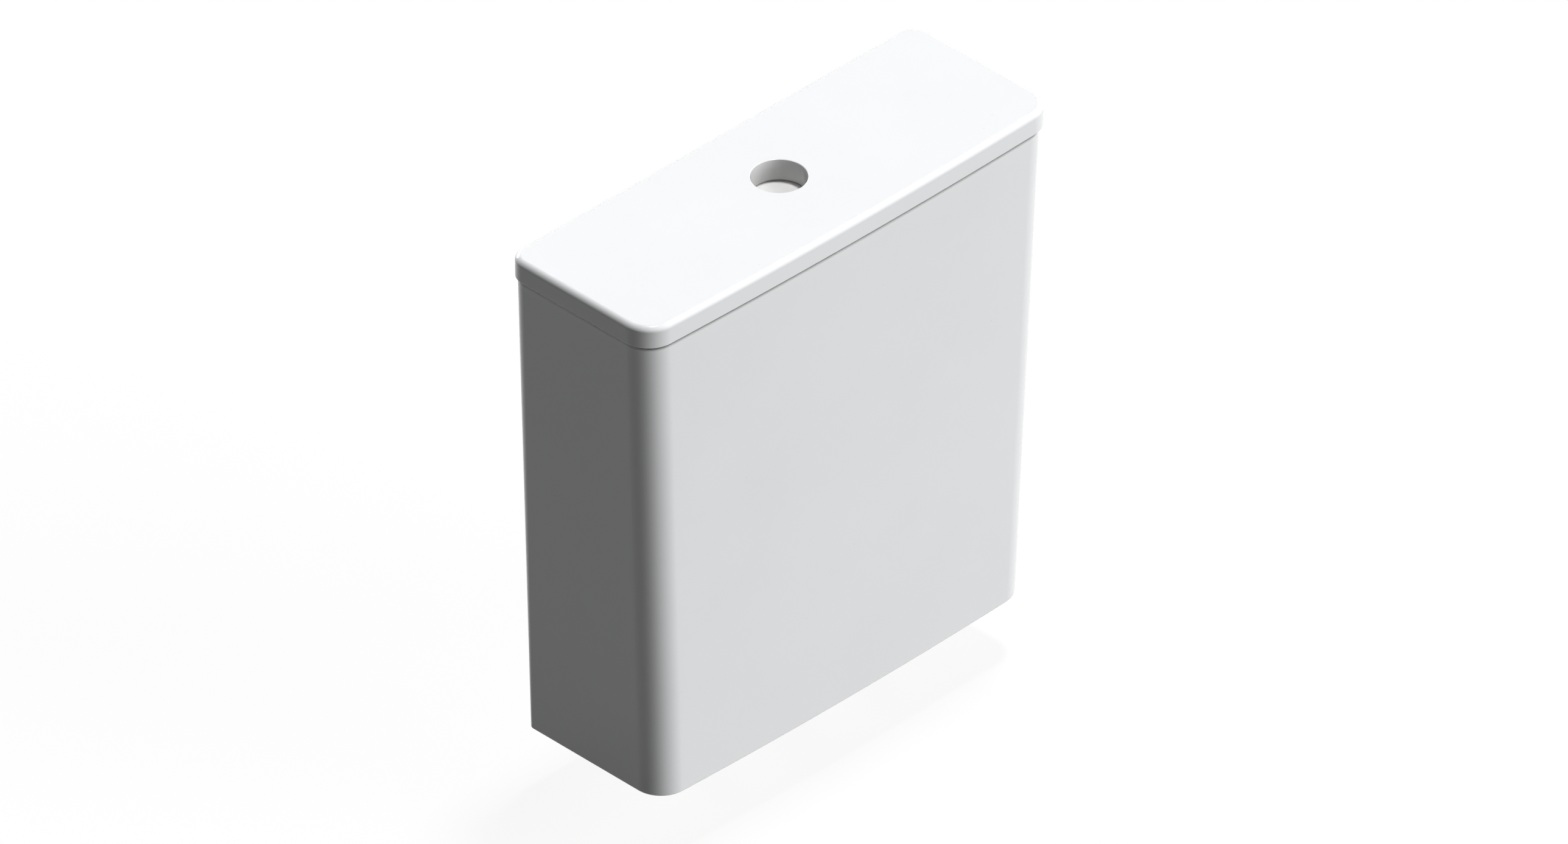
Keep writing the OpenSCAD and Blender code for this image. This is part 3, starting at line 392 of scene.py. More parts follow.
def threaded(radius, z, fraction, cut):
    """A radius with its thread cut into it, at a fraction of a full turn."""
    low, high, pitch, depth = cut
    wave = 0.5 - 0.5 * math.cos(2 * math.pi * (z / pitch - fraction))
    ends = min(abs(z - low), abs(high - z)) / pitch
    return radius - depth * wave * min(1.0, ends)


def fluted(radius, z, turn, flutes):
    """A radius with flutes, given as (lowest, highest, count, depth, least radius)."""
    lowest, highest, count, depth, least = flutes
    if lowest <= z <= highest and radius >= least:
        radius -= depth * (0.5 - 0.5 * math.cos(count * turn)) ** 2
    return radius


def turned(profile, steps, centre=(0, 0), flutes=None):
    """Closed mesh turned about an upright axis. Rows are (radius, height), some from thread()."""
    made = bmesh.new()
    columns = []
    for k in range(steps):
        turn = 2 * math.pi * k / steps
        column = []
        for radius, z, *cut in profile:
            if cut:
                radius = threaded(radius, z, k / steps, cut[0])
            elif flutes:
                radius = fluted(radius, z, turn, flutes)
            x, y = radius * math.cos(turn), radius * math.sin(turn)
            column.append(made.verts.new((centre[0] + x, centre[1] + y, z)))
        columns.append(column)
    count = len(profile)
    for k in range(steps):
        here, there = columns[k], columns[(k + 1) % steps]
        for i in range(count):
            j = (i + 1) % count
            made.faces.new((here[i], there[i], there[j], here[j]))
    bmesh.ops.remove_doubles(made, verts=made.verts, dist=WELD)
    bmesh.ops.dissolve_degenerate(made, edges=made.edges, dist=WELD / 2)
    bmesh.ops.recalc_face_normals(made, faces=made.faces)
    return made


def slab(outline, low, high, edge, place=Matrix()):
    """Plate of an outline in X and Z, from low to high along Y, with rounded edges."""
    made = bmesh.new()
    faces = [made.faces.new([made.verts.new((x, y, z)) for x, z in outline]) for y in (low, high)]
    count = len(outline)
    made.verts.ensure_lookup_table()
    for i in range(count):
        j = (i + 1) % count
        corners = (i, j, count + j, count + i)
        made.faces.new([made.verts[k] for k in corners])
    bmesh.ops.recalc_face_normals(made, faces=made.faces)
    rims = [e for e in made.edges if any(f in faces for f in e.link_faces)]
    bmesh.ops.bevel(made, geom=rims, offset=edge, segments=3, profile=0.5, affect="EDGES")
    made.transform(place)
    return made


def joined(parts):
    """One mesh of several separate ones."""
    whole = bmesh.new()
    for part in parts:
        copy = bpy.data.meshes.new("part")
        part.to_mesh(copy)
        part.free()
        whole.from_mesh(copy)
        bpy.data.meshes.remove(copy)
    return whole


def solid_object(made, name):
    mesh = bpy.data.meshes.new(name)
    made.to_mesh(mesh)
    made.free()
    obj = bpy.data.objects.new(name, mesh)
    bpy.context.scene.collection.objects.link(obj)
    return obj


def combine(obj, tool, operation):
    """Unites obj with a tool mesh or cuts the tool out of it, and takes the tool away."""
    cutter = solid_object(tool, "tool")
    modifier = obj.modifiers.new(operation.lower(), "BOOLEAN")
    modifier.operation, modifier.object, modifier.solver = operation, cutter, "EXACT"
    bpy.context.view_layer.update()
    graph = bpy.context.evaluated_depsgraph_get()
    result = bpy.data.meshes.new_from_object(obj.evaluated_get(graph))
    obj.modifiers.clear()
    old, obj.data = obj.data, result
    bpy.data.meshes.remove(old)
    bpy.data.meshes.remove(cutter.data)
    if not result.polygons:
        raise RuntimeError(f"{obj.name}: nothing is left after {operation.lower()}")


def hole_tool(radius, low, high, edge, place=Matrix()):
    """Cutter for a round hole whose two rims are rounded by edge."""
    out = 2 * MM
    wide = radius + edge
    lower = [(radius + side, low + edge - rise) for side, rise in quarter(edge, 5)][::-1]
    upper = [(r, low + high - z) for r, z in reversed(lower)]
    ends = [(wide, high + out), (0, high + out), (0, low - out), (wide, low - out)]
    made = turned(lower + upper + ends, 96)
    made.transform(place)
    return made


def slot_tool(centre_x, reach, top, depth, width):
    """Cutter for a screwdriver's slot along X in the top of a round head."""
    left, right = centre_x - reach, centre_x + reach
    floor, out = top - depth, top + 1 * MM
    outline = [(left, floor), (right, floor), (right, out), (left, out)]
    return slab(outline, -width / 2, width / 2, 0.05 * MM)


def finish_piece(obj, body, slot, node, angle=40.0):
    """Shades a new piece, gives it its finish and lets it ride in its CAD node's place."""
    obj.data.shade_smooth()
    obj.data.set_sharp_from_angle(angle=math.radians(angle))
    obj.data.materials.clear()
    obj.data.materials.append(finish_of(FINISHES[slot]))
    modifier = obj.modifiers.new("even_normals", "WEIGHTED_NORMAL")
    modifier.keep_sharp = True
    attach(obj, body)
    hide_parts(node)


def dress(node, material, edge):
    """Rounds a CAD node's edges with modifiers and gives it its finish."""
    obj = frame["nodes"][node]
    weld = obj.modifiers.new("weld", "WELD")
    weld.merge_threshold = WELD
    flat = obj.modifiers.new("flat_faces", "DECIMATE")
    flat.decimate_type, flat.angle_limit = "DISSOLVE", math.radians(0.5)
    rounding = obj.modifiers.new("rounded_edges", "BEVEL")
    rounding.width, rounding.segments = edge, 2
    rounding.limit_method, rounding.angle_limit = "ANGLE", math.radians(35)
    rounding.harden_normals = False
    evened = obj.modifiers.new("even_normals", "WEIGHTED_NORMAL")
    evened.keep_sharp = False
    obj.data.materials.clear()
    obj.data.materials.append(material)


def dress_group(group, fittings):
    """Rounds and finishes the CAD nodes of one group."""
    edges = {
        "black_rubber": fittings.rubber_edge,
        "red_silicone": fittings.rubber_edge,
        "plated_steel": fittings.metal_edge,
        "plain_brass": fittings.metal_edge,
    }
    for finish, nodes in DRESSED[group].items():
        for node in nodes.split():
            dress(node, finish_of(finish), edges.get(finish, fittings.moulded_edge))


# Finishes


class Tree:
    """Places nodes in a node tree, and links or sets their sockets by name."""

    def __init__(self, tree):
        self.tree = tree

    def add(self, kind, inputs=None, **settings):
        node = self.tree.nodes.new("ShaderNode" + kind)
        for key, value in settings.items():
            setattr(node, key, value)
        for key, value in (inputs or {}).items():
            self.put(node.inputs[key], value)
        return node

    def put(self, socket, value):
        if isinstance(value, bpy.types.NodeSocket):
            self.tree.links.new(value, socket)
        else:
            socket.default_value = value

    def spread(self, value, low, high, to_low=0.0, to_high=1.0):
        """A value's range stretched to another, with soft ends."""
        node = self.add(
            "MapRange",
            {
                "Value": value,
                "From Min": low,
                "From Max": high,
                "To Min": to_low,
                "To Max": to_high,
            },
            interpolation_type="SMOOTHSTEP",
        )
        return node.outputs["Result"]

    def maths(self, operation, first, second):
        node = self.add("Math", {0: first, 1: second}, operation=operation)
        return node.outputs[0]

    def mix(self, factor, first, second):
        node = self.add("Mix", data_type="RGBA")
        self.put(node.inputs[0], factor)
        self.put(node.inputs[6], first)
        self.put(node.inputs[7], second)
        return node.outputs[2]


def effect(name, inputs, outputs):
    """A new node group with float or colour sockets: its tree, its inputs and its end."""
    group = bpy.data.node_groups.new(name, "ShaderNodeTree")
    for socket_name, kind, value in inputs:
        made = group.interface.new_socket(
            name=socket_name, in_out="INPUT", socket_type="NodeSocket" + kind
        )
        made.default_value = value
    for socket_name, kind in outputs:
        group.interface.new_socket(
            name=socket_name, in_out="OUTPUT", socket_type="NodeSocket" + kind
        )
    entry = group.nodes.new("NodeGroupInput")
    end = group.nodes.new("NodeGroupOutput")
    return Tree(group), entry.outputs, end


def place_of(tree):
    return tree.add("TexCoord").outputs["Object"]


def noise(tree, scale, detail=2.0, roughness=0.5):
    node = tree.add(
        "TexNoise",
        {"Vector": place_of(tree), "Scale": scale, "Detail": detail, "Roughness": roughness},
    )
    return node.outputs["Fac"]


def make_ripple():
    """Slow waves with fine grain on them, as in a poured glaze or a moulding."""
    tree, given, end = effect(
        "surface_ripple",
        [("Scale", "Float", 30.0), ("Grain Scale", "Float", 900.0), ("Grain", "Float", 0.2)],
        [("Height", "Float")],
    )
    grain = tree.maths("MULTIPLY", noise(tree, given["Grain Scale"], 3.0), given["Grain"])
    tree.put(end.inputs["Height"], tree.maths("ADD", noise(tree, given["Scale"]), grain))


def make_drift():
    """A colour that wanders a little between two tones."""
    tree, given, end = effect(
        "colour_drift",
        [
            ("Colour", "Color", (0.8, 0.8, 0.8, 1.0)),
            ("Other Tone", "Color", (0.7, 0.7, 0.7, 1.0)),
            ("Scale", "Float", 20.0),
            ("Amount", "Float", 0.3),
        ],
        [("Colour", "Color")],
    )
    cloud = tree.spread(noise(tree, given["Scale"], 4.0, 0.6), 0.35, 0.7)
    amount = tree.maths("MULTIPLY", cloud, given["Amount"])
    tree.put(end.inputs["Colour"], tree.mix(amount, given["Colour"], given["Other Tone"]))


def make_specks():
    """Small scattered dots."""
    tree, given, end = effect(
        "fired_specks",
        [("Scale", "Float", 150.0), ("Size", "Float", 0.08), ("Sparse", "Float", 0.6)],
        [("Mask", "Float")],
    )
    cells = tree.add("TexVoronoi", {"Vector": place_of(tree), "Scale": given["Scale"]})
    dots = tree.maths("LESS_THAN", cells.outputs["Distance"], given["Size"])
    chosen = tree.maths("GREATER_THAN", noise(tree, 35.0), given["Sparse"])
    tree.put(end.inputs["Mask"], tree.maths("MULTIPLY", dots, chosen))


def make_facing():
    """Where a surface faces up or down, with an uneven border."""
    tree, given, end = effect(
        "facing",
        [("Direction", "Float", 1.0), ("Border", "Float", 0.6), ("Unevenness", "Float", 0.2)],
        [("Mask", "Float")],
    )
    normal = tree.add("SeparateXYZ", {0: tree.add("NewGeometry").outputs["Normal"]})
    height = tree.maths("MULTIPLY", normal.outputs["Z"], given["Direction"])
    wobble = tree.maths("MULTIPLY", noise(tree, 60.0, 4.0), given["Unevenness"])
    level = tree.maths("ADD", height, wobble)
    start = tree.maths("SUBTRACT", given["Border"], 0.1)
    tree.put(end.inputs["Mask"], tree.spread(level, start, given["Border"]))


def make_wear():
    """Edges that are rubbed bright or pale."""
    tree, given, end = effect(
        "edge_wear",
        [("Start", "Float", 0.52), ("Width", "Float", 0.08), ("Break Up", "Float", 0.5)],
        [("Mask", "Float")],
    )
    sharpness = tree.add("NewGeometry").outputs["Pointiness"]
    stop = tree.maths("ADD", given["Start"], given["Width"])
    edges = tree.spread(sharpness, given["Start"], stop)
    patches = tree.spread(noise(tree, 240.0, 4.0), 0.35, 0.65)
    kept = tree.maths("MULTIPLY", patches, given["Break Up"])
    rest = tree.maths("SUBTRACT", 1.0, given["Break Up"])
    tree.put(end.inputs["Mask"], tree.maths("MULTIPLY", edges, tree.maths("ADD", kept, rest)))


def make_film():
    """Pale lime and dust that settle on what faces up."""
    tree, given, end = effect(
        "settled_film",
        [("Amount", "Float", 0.3), ("Scale", "Float", 70.0)],
        [("Mask", "Float")],
    )
    facing = tree.add("Group", node_tree=bpy.data.node_groups["facing"])
    facing.inputs["Border"].default_value = 0.75
    patches = tree.spread(noise(tree, given["Scale"], 5.0, 0.65), 0.4, 0.75)
    film = tree.maths("MULTIPLY", facing.outputs["Mask"], patches)
    tree.put(end.inputs["Mask"], tree.maths("MULTIPLY", film, given["Amount"]))


def make_crevice_shade():
    """Painted shade where surfaces meet or lie deep, by how much of the space before them is open.
    """
    tree, given, end = effect(
        "crevice_grime",
        [("Reach", "Float", 5.0 * MM), ("Open", "Float", 0.97), ("Closed", "Float", 0.9)],
        [("Mask", "Float")],
    )
    shade = tree.add("AmbientOcclusion", {"Distance": given["Reach"]}, samples=16)
    tree.put(end.inputs["Mask"], tree.spread(shade.outputs["AO"], given["Open"], given["Closed"]))


def make_effects():
    for make in (
        make_ripple, make_drift, make_specks, make_facing, make_wear, make_film, make_crevice_shade
    ):
        make()


def use(tree, name, **values):
    """Places a shared effect, with its sockets set by name."""
    node = tree.add("Group", node_tree=bpy.data.node_groups[name])
    for key, value in values.items():
        tree.put(node.inputs[key.replace("_", " ").title()], value)
    return node.outputs[0]


def opaque(value):
    return (*value, 1.0)


def toned(value, factor):
    return tuple(min(1.0, max(0.0, c * factor)) for c in value) + (1.0,)


def new_material(name):
    """The tree and the shader of a new material."""
    material = bpy.data.materials.new(name)
    material.use_nodes = True
    return Tree(material.node_tree), material.node_tree.nodes["Principled BSDF"]


def drift(tree, tone, other, scale, amount):
    """A colour that wanders in patches towards another tone."""
    return use(tree, "colour_drift", colour=tone, other_tone=other, scale=scale, amount=amount)


def clouds(tree, scale, detail, low, high):
    """A value that wanders in soft clouds between low and high."""
    return tree.spread(noise(tree, scale, detail), 0.3, 0.7, low, high)


def uneven(tree, shader, scale, grain_scale, grain, depth, strength):
    """Gives a shader the slow waves and fine grain of its surface."""
    height = use(tree, "surface_ripple", scale=scale, grain_scale=grain_scale, grain=grain)
    bump = tree.add("Bump", {"Height": height, "Strength": strength, "Distance": depth})
    tree.put(shader.inputs["Normal"], bump.outputs["Normal"])


def china_material(ware):
    """Glossy white glaze, bare where the ware faces down, with painted shade in seams and hollows.
    """
    tree, shader = new_material("glazed_china")
    bare = use(tree, "facing", direction=-1.0, border=0.8, unevenness=0.15)
    glaze = drift(tree, opaque(ware.glaze), toned(ware.glaze, 0.97), scale=9.0, amount=0.6)
    body = drift(tree, opaque(ware.bisque), toned(ware.bisque, 0.88), scale=45.0, amount=0.8)
    specks = use(tree, "fired_specks", scale=130.0, size=0.05, sparse=0.62)
    speckled = tree.mix(tree.maths("MULTIPLY", specks, 0.25), glaze, opaque(ware.speck))
    # Painted shade: the glaze is darkened deep in hollows, such as the button's hole.
    hollow = use(tree, "crevice_grime", reach=ware.hollow_shade_reach, open=0.85, closed=0.25)
    # Painted shade: a dark line along narrow seams, such as under the lid's edge.
    seam = use(tree, "crevice_grime", reach=ware.seam_shade_reach, open=0.97, closed=0.9)
    seam = tree.maths("MULTIPLY", seam, tree.maths("SUBTRACT", 1.0, hollow))
    # Glaze mixed towards the dark colour of the painted shade in deep hollows.
    dulled = tree.mix(tree.maths("MULTIPLY", hollow, 0.5), speckled, opaque(ware.dulled))
    with_painted_shade = tree.mix(seam, dulled, opaque(ware.grime))
    tree.put(shader.inputs["Base Color"], tree.mix(bare, with_painted_shade, body))
    gloss = clouds(tree, 14.0, 3.0, 0.10, 0.17)
    rough = tree.maths("ADD", gloss, tree.maths("MULTIPLY", bare, 0.6))
    tree.put(shader.inputs["Roughness"], rough)
    shader.inputs["IOR"].default_value = 1.52
    uneven(tree, shader, 26.0, grain_scale=700.0, grain=0.03, depth=0.35 * MM, strength=0.35)


def plastic_material(name, value, roughness):
    """Moulded plastic with flow marks, fine grain, pale edges and a thin film of lime."""
    tree, shader = new_material(name)
    tone = drift(tree, opaque(value), toned(value, 0.9), scale=38.0, amount=0.5)
    worn = use(tree, "edge_wear", start=0.53, width=0.1, break_up=0.6)
    pale = tree.mix(tree.maths("MULTIPLY", worn, 0.35), tone, toned(value, 1.25))
    settled = use(tree, "settled_film", amount=0.25, scale=80.0)
    tree.put(shader.inputs["Base Color"], tree.mix(settled, pale, LIME))
    streaks = clouds(tree, 120.0, 4.0, roughness - 0.06, roughness + 0.08)
    rough = tree.maths("ADD", streaks, tree.maths("MULTIPLY", settled, 0.3))
    tree.put(shader.inputs["Roughness"], rough)
    shader.inputs["IOR"].default_value = 1.48
    uneven(tree, shader, 45.0, grain_scale=1500.0, grain=0.25, depth=0.12 * MM, strength=0.5)


def rubber_material(name, value, roughness):
    """Soft moulded rubber with a bloom on it."""
    tree, shader = new_material(name)
    tone = drift(tree, opaque(value), toned(value, 1.6), scale=60.0, amount=0.6)
    bloom = use(tree, "settled_film", amount=0.3, scale=110.0)
    tree.put(shader.inputs["Base Color"], tree.mix(bloom, tone, BLOOM))
    rough = clouds(tree, 160.0, 4.0, roughness - 0.08, roughness + 0.08)
    tree.put(shader.inputs["Roughness"], rough)
    uneven(tree, shader, 90.0, grain_scale=2200.0, grain=0.6, depth=0.15 * MM, strength=0.6)


def metal_material(name, value, dark, roughness):
    """Turned metal with patches of tarnish and bright edges."""
    tree, shader = new_material(name)
    tone = drift(tree, opaque(value), opaque(dark), scale=75.0, amount=0.55)
    worn = use(tree, "edge_wear", start=0.51, width=0.07, break_up=0.4)
    bright = tree.mix(tree.maths("MULTIPLY", worn, 0.6), tone, toned(value, 1.2))
    tree.put(shader.inputs["Base Color"], bright)
    shader.inputs["Metallic"].default_value = 1.0
    rough = clouds(tree, 210.0, 5.0, roughness - 0.08, roughness + 0.12)
    tree.put(shader.inputs["Roughness"], rough)
    uneven(tree, shader, 120.0, grain_scale=2600.0, grain=0.5, depth=0.06 * MM, strength=0.5)


def make_materials(ware, fittings):
    make_effects()
    china_material(ware)
    plastic_material("white_moulding", fittings.white, 0.36)
    plastic_material("grey_moulding", fittings.grey, 0.42)
    plastic_material("blue_moulding", fittings.blue, 0.33)
    rubber_material("black_rubber", fittings.rubber, 0.62)
    rubber_material("red_silicone", fittings.silicone, 0.45)
    metal_material("plated_steel", fittings.steel, fittings.steel_tarnish, 0.3)
    metal_material("plain_brass", fittings.brass, fittings.brass_tarnish, 0.32)


def finish_of(name):
    return bpy.data.materials[name]


# Pieces


def make_tank(ware):
    """The tank: leaning sides, a bowed front, a rounded rim and its holes."""
    top, edge, rim, fillet = TANK_HIGH.z, ware.edge, ware.rim_edge, ware.fillet
    rings = [(edge - rise, side) for side, rise in quarter(edge, 4)][::-1]
    rings += [(top - edge + rise, side) for side, rise in quarter(edge, 5)]
    rings += [(top - rim + rise, ware.wall - side) for side, rise in quarter(rim, 6)][::-1]
    rings += [(ware.floor + fillet - rise, ware.wall + side) for side, rise in quarter(fillet, 8)]
    tank = solid_object(loft([(z, tank_plan(ware, z, inset)) for z, inset in rings]), "tank_ware")

    bolt_x = pair_x("bolt_seals")
    holes = (
        (0, ware.outlet_hole_r), (middle_x("fill_shank"), ware.shank_hole_r),
        (bolt_x, ware.bolt_hole_r), (-bolt_x, ware.bolt_hole_r),
    )
    for x, radius in holes:
        place = Matrix.Translation((x, 0, 0))
        hole = hole_tool(radius, 0, ware.floor, ware.drilled_edge, place)
        combine(tank, hole, "DIFFERENCE")
    backward = Matrix.Rotation(math.radians(-90), 4, "X")
    for x in (-ware.screw_x, ware.screw_x):
        place = Matrix.Translation((x, TANK_HIGH.y - ware.wall, ware.screw_z)) @ backward
        hole = hole_tool(ware.screw_hole_r, 0, ware.wall, ware.drilled_edge, place)
        combine(tank, hole, "DIFFERENCE")
    finish_piece(tank, "root", "vitreous_china", "tank", 32.0)


def make_lid(ware):
    """The lid: a soft top edge, a hollow underside with its rib and boss, and its hole."""
    low, top = TANK_HIGH.z, LID_HIGH.z
    ceiling = top - ware.lid_plate
    soft, inner = ware.hollow_edge, ware.rim_foot_edge
    foot_edge, top_r = ware.lid_foot_edge, ware.lid_top_r
    rings = [(ceiling - soft + rise, ware.lid_rim + side) for side, rise in quarter(soft, 4)][::-1]
    rings += [(low + inner - rise, ware.lid_rim - side) for side, rise in quarter(inner, 3)]
    rings += [(low + foot_edge - rise, side) for side, rise in quarter(foot_edge, 4)][::-1]
    rings += [(top - top_r + rise, side) for side, rise in quarter(top_r, 10)]
    lid = solid_object(loft([(z, lid_plan(ware, inset)) for z, inset in rings]), "lid_ware")

    foot, edge = LID_LOW.z, ware.rib_edge
    outside = ware.wall + ware.rib_gap
    inside = outside + ware.rib
    sunk = ceiling + 2 * MM
    walls = [(sunk, outside)]
    walls += [(foot + edge - rise, outside + side) for side, rise in quarter(edge, 3)]
    walls += [(foot + edge - rise, inside - side) for side, rise in quarter(edge, 3)][::-1]
    walls += [(sunk, inside)]
    made = bmesh.new()
    rows = [
        [made.verts.new((x, y, z)) for x, y in tank_plan(ware, foot, inset)] for z, inset in walls
    ]
    for here, there in zip(rows, rows[1:] + rows[:1]):
        bridge(made, here, there)
    bmesh.ops.recalc_face_normals(made, faces=made.faces)
    combine(lid, made, "UNION")

    boss_r = ware.hole_r + ware.boss_wall
    boss = [(0, low), (boss_r - edge, low), (boss_r, low + edge), (boss_r, sunk), (0, sunk)]
    combine(lid, turned(boss, 96), "UNION")
    combine(lid, hole_tool(ware.hole_r, low, top, ware.hole_edge), "DIFFERENCE")
    finish_piece(lid, "lid_part", "vitreous_china", "lid", 32.0)


def make_bolts(fittings):
    """Two slotted bolts with a cut thread."""
    low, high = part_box("coupling_bolts")
    washer_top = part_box("bolt_washers")[1].z
    head_r, bolt_x = radius_of("coupling_bolts"), pair_x("coupling_bolts")
    bolt_r, cut = fittings.bolt_r, fittings.bolt_cut
    core_r = bolt_r - cut
    point, neck, lip, dome = 0.6 * MM, 1 * MM, 0.4 * MM, 1.6 * MM
    profile = [(0, low.z), (core_r, low.z), (core_r, low.z + point)]
    profile += thread(bolt_r, low.z + point, washer_top - neck, fittings.bolt_pitch, cut)
    profile += [(core_r, washer_top), (head_r - lip, washer_top), (head_r, washer_top + lip)]
    profile += [
        (head_r * math.cos(math.radians(a)), high.z - dome + dome * math.sin(math.radians(a)))
        for a in range(0, 91, 15)
    ]
    places = (-bolt_x, bolt_x)
    bolts = solid_object(joined([turned(profile, 40, (x, 0)) for x in places]), "bolt_pair")
    slot_depth, slot_width = 2 * MM, 1.6 * MM
    for x in places:
        slot = slot_tool(x, head_r * 1.2, high.z, slot_depth, slot_width)
        combine(bolts, slot, "DIFFERENCE")
    finish_piece(bolts, "root", "brass", "coupling_bolts")


def make_wing_nuts(fittings):
    """Two wing nuts with round ears on a tapered hub."""
    low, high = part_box("wing_nuts")
    hub_r, bolt_x = radius_of("wing_nuts"), pair_x("coupling_bolts")
    bore, ear_r, ear_half = fittings.nut_bore_r, fittings.ear_r, fittings.ear / 2
    foot_r, collar = hub_r - 1.1 * MM, high.z - 1.5 * MM
    soft, step, rim = 0.4 * MM, 0.5 * MM, 0.3 * MM
    root_r, root_low, root_high = hub_r - 2 * MM, low.z + 1 * MM, high.z - 2.4 * MM
    ear_lift, ear_edge = 0.1 * MM, 0.9 * MM
    hub = [
        (bore, low.z), (foot_r - step, low.z), (foot_r, low.z + soft),
        (hub_r - soft, collar - step), (hub_r, collar), (hub_r, high.z - rim),
        (hub_r - rim, high.z), (bore, high.z),
    ]
    ear = arc(high.x - bolt_x - ear_r, low.z + ear_r + ear_lift, ear_r, -110, 120, 18)
    ear += [(root_r, root_high), (root_r, root_low)]
    parts = []
    for x in (-bolt_x, bolt_x):
        parts.append(turned(hub, 56, (x, 0)))
        for turn in (0, 180):
            place = Matrix.Translation((x, 0, 0)) @ Matrix.Rotation(math.radians(turn), 4, "Z")
            parts.append(slab(ear, -ear_half, ear_half, ear_edge, place))
    nuts = solid_object(joined(parts), "wing_nut_pair")
    finish_piece(nuts, "root", "brass", "wing_nuts")


def make_doughnut(fittings):
    """The ribbed rubber ring between the tank and the pan."""
    low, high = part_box("doughnut_seal")
    nut_low, nut_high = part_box("valve_backnut")
    outer, inner, pocket_r = high.x, fittings.doughnut_bore_r, fittings.pocket_r
    pocket = nut_high.z - nut_low.z + 0.3 * MM
    mouth, top_edge, bore_edge, ease = 0.6 * MM, 1 * MM, 0.8 * MM, 4 * MM
    ribs, rib, first, plain = 5, 1.1 * MM, 1.5 * MM, 6 * MM
    step = (high.z - low.z - plain) / ribs
    profile = [(pocket_r + mouth, 0), (outer - top_edge, 0), (outer, -top_edge)]
    for i in range(ribs):
        z = -first - step * i
        profile += [
            (outer, z), (outer, z - step * 0.45), (outer - rib, z - step * 0.6),
            (outer - rib, z - step * 0.85),
        ]
    profile += arc(outer - ease, low.z + ease, ease, -15, -90, 5)
    profile += [
        (inner + bore_edge, low.z), (inner, low.z + bore_edge), (inner, -pocket),
        (pocket_r, -pocket), (pocket_r, -mouth),
    ]
    ring = solid_object(turned(profile, 120), "doughnut_ring")
    finish_piece(ring, "root", "black_rubber", "doughnut_seal")


def make_valve_base(fittings):
    """The flush valve's threaded tail, flange and seat."""
    low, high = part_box("valve_base")
    tail_r, spigot_r, bore = fittings.tail_r, fittings.spigot_r, fittings.tail_bore_r
    seat_r, spigot_top = fittings.seat_r, low.z + fittings.spigot
    flange_z, flange_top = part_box("base_seal")[1].z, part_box("cage")[0].z
    flange_r, cup_r, deck = high.x, high.x - 3 * MM, high.z - 4 * MM
    soft, plain, cut, lip = 0.5 * MM, 1 * MM, 0.9 * MM, 0.3 * MM
    slope, throat = 2 * MM, 5 * MM
    profile = [
        (bore, low.z), (spigot_r - soft, low.z), (spigot_r, low.z + soft),
        (spigot_r, spigot_top),
    ]
    profile += thread(tail_r, spigot_top, flange_z - plain, fittings.tail_pitch, cut)
    profile += [
        (tail_r, flange_z), (flange_r - soft, flange_z), (flange_r, flange_z + soft),
        (flange_r, flange_top - soft), (flange_r - soft, flange_top), (cup_r, flange_top),
        (cup_r, deck - soft), (cup_r - soft, deck), (seat_r + 4 * lip, deck),
        (seat_r + 2 * lip, high.z - lip), (seat_r + lip, high.z), (seat_r - lip, high.z),
        (seat_r - 2 * lip, high.z - lip), (seat_r - slope, deck),
        (bore + slope / 2, deck - throat), (bore, deck - throat - slope),
    ]
    base = solid_object(turned(profile, 128), "tail_and_seat")
    finish_piece(base, "root", "white_plastic", "valve_base")


def make_shank(fittings):
    """The fill valve's threaded shank, flange and lower tube."""
    low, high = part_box("fill_shank")
    shank_r, bore, tube_r = fittings.shank_r, fittings.shank_bore_r, fittings.tube_r
    riser_r, flange_r = radius_of("fill_riser") + 0.05 * MM, radius_of("fill_shank")
    flange_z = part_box("shank_seal")[1].z
    flange_top = flange_z + 3 * MM
    ledge = flange_top + 1 * MM
    groove_low, groove_high, groove = -14 * MM, -12 * MM, 1 * MM
    soft, point, plain, cut, step = 0.5 * MM, 0.9 * MM, 1 * MM, 0.75 * MM, 0.1 * MM
    profile = [(bore, low.z), (shank_r - point, low.z), (shank_r - 2 * step, low.z + point)]
    profile += thread(shank_r, low.z + plain, groove_low, fittings.shank_pitch, cut)
    profile += [(shank_r - groove, groove_low + step), (shank_r - groove, groove_high - step)]
    profile += thread(shank_r, groove_high, flange_z - plain, fittings.shank_pitch, cut)
    profile += [
        (shank_r, flange_z), (flange_r - soft, flange_z), (flange_r, flange_z + soft),
        (flange_r, flange_top - soft), (flange_r - soft, flange_top), (tube_r, flange_top),
        (tube_r, high.z - soft), (tube_r - soft, high.z), (riser_r + soft, high.z),
        (riser_r, high.z - soft), (riser_r, ledge), (bore, ledge),
    ]
    shank = solid_object(turned(profile, 80, (middle_x("fill_shank"), 0)), "inlet_shank")
    finish_piece(shank, "root", "white_plastic", "fill_shank")


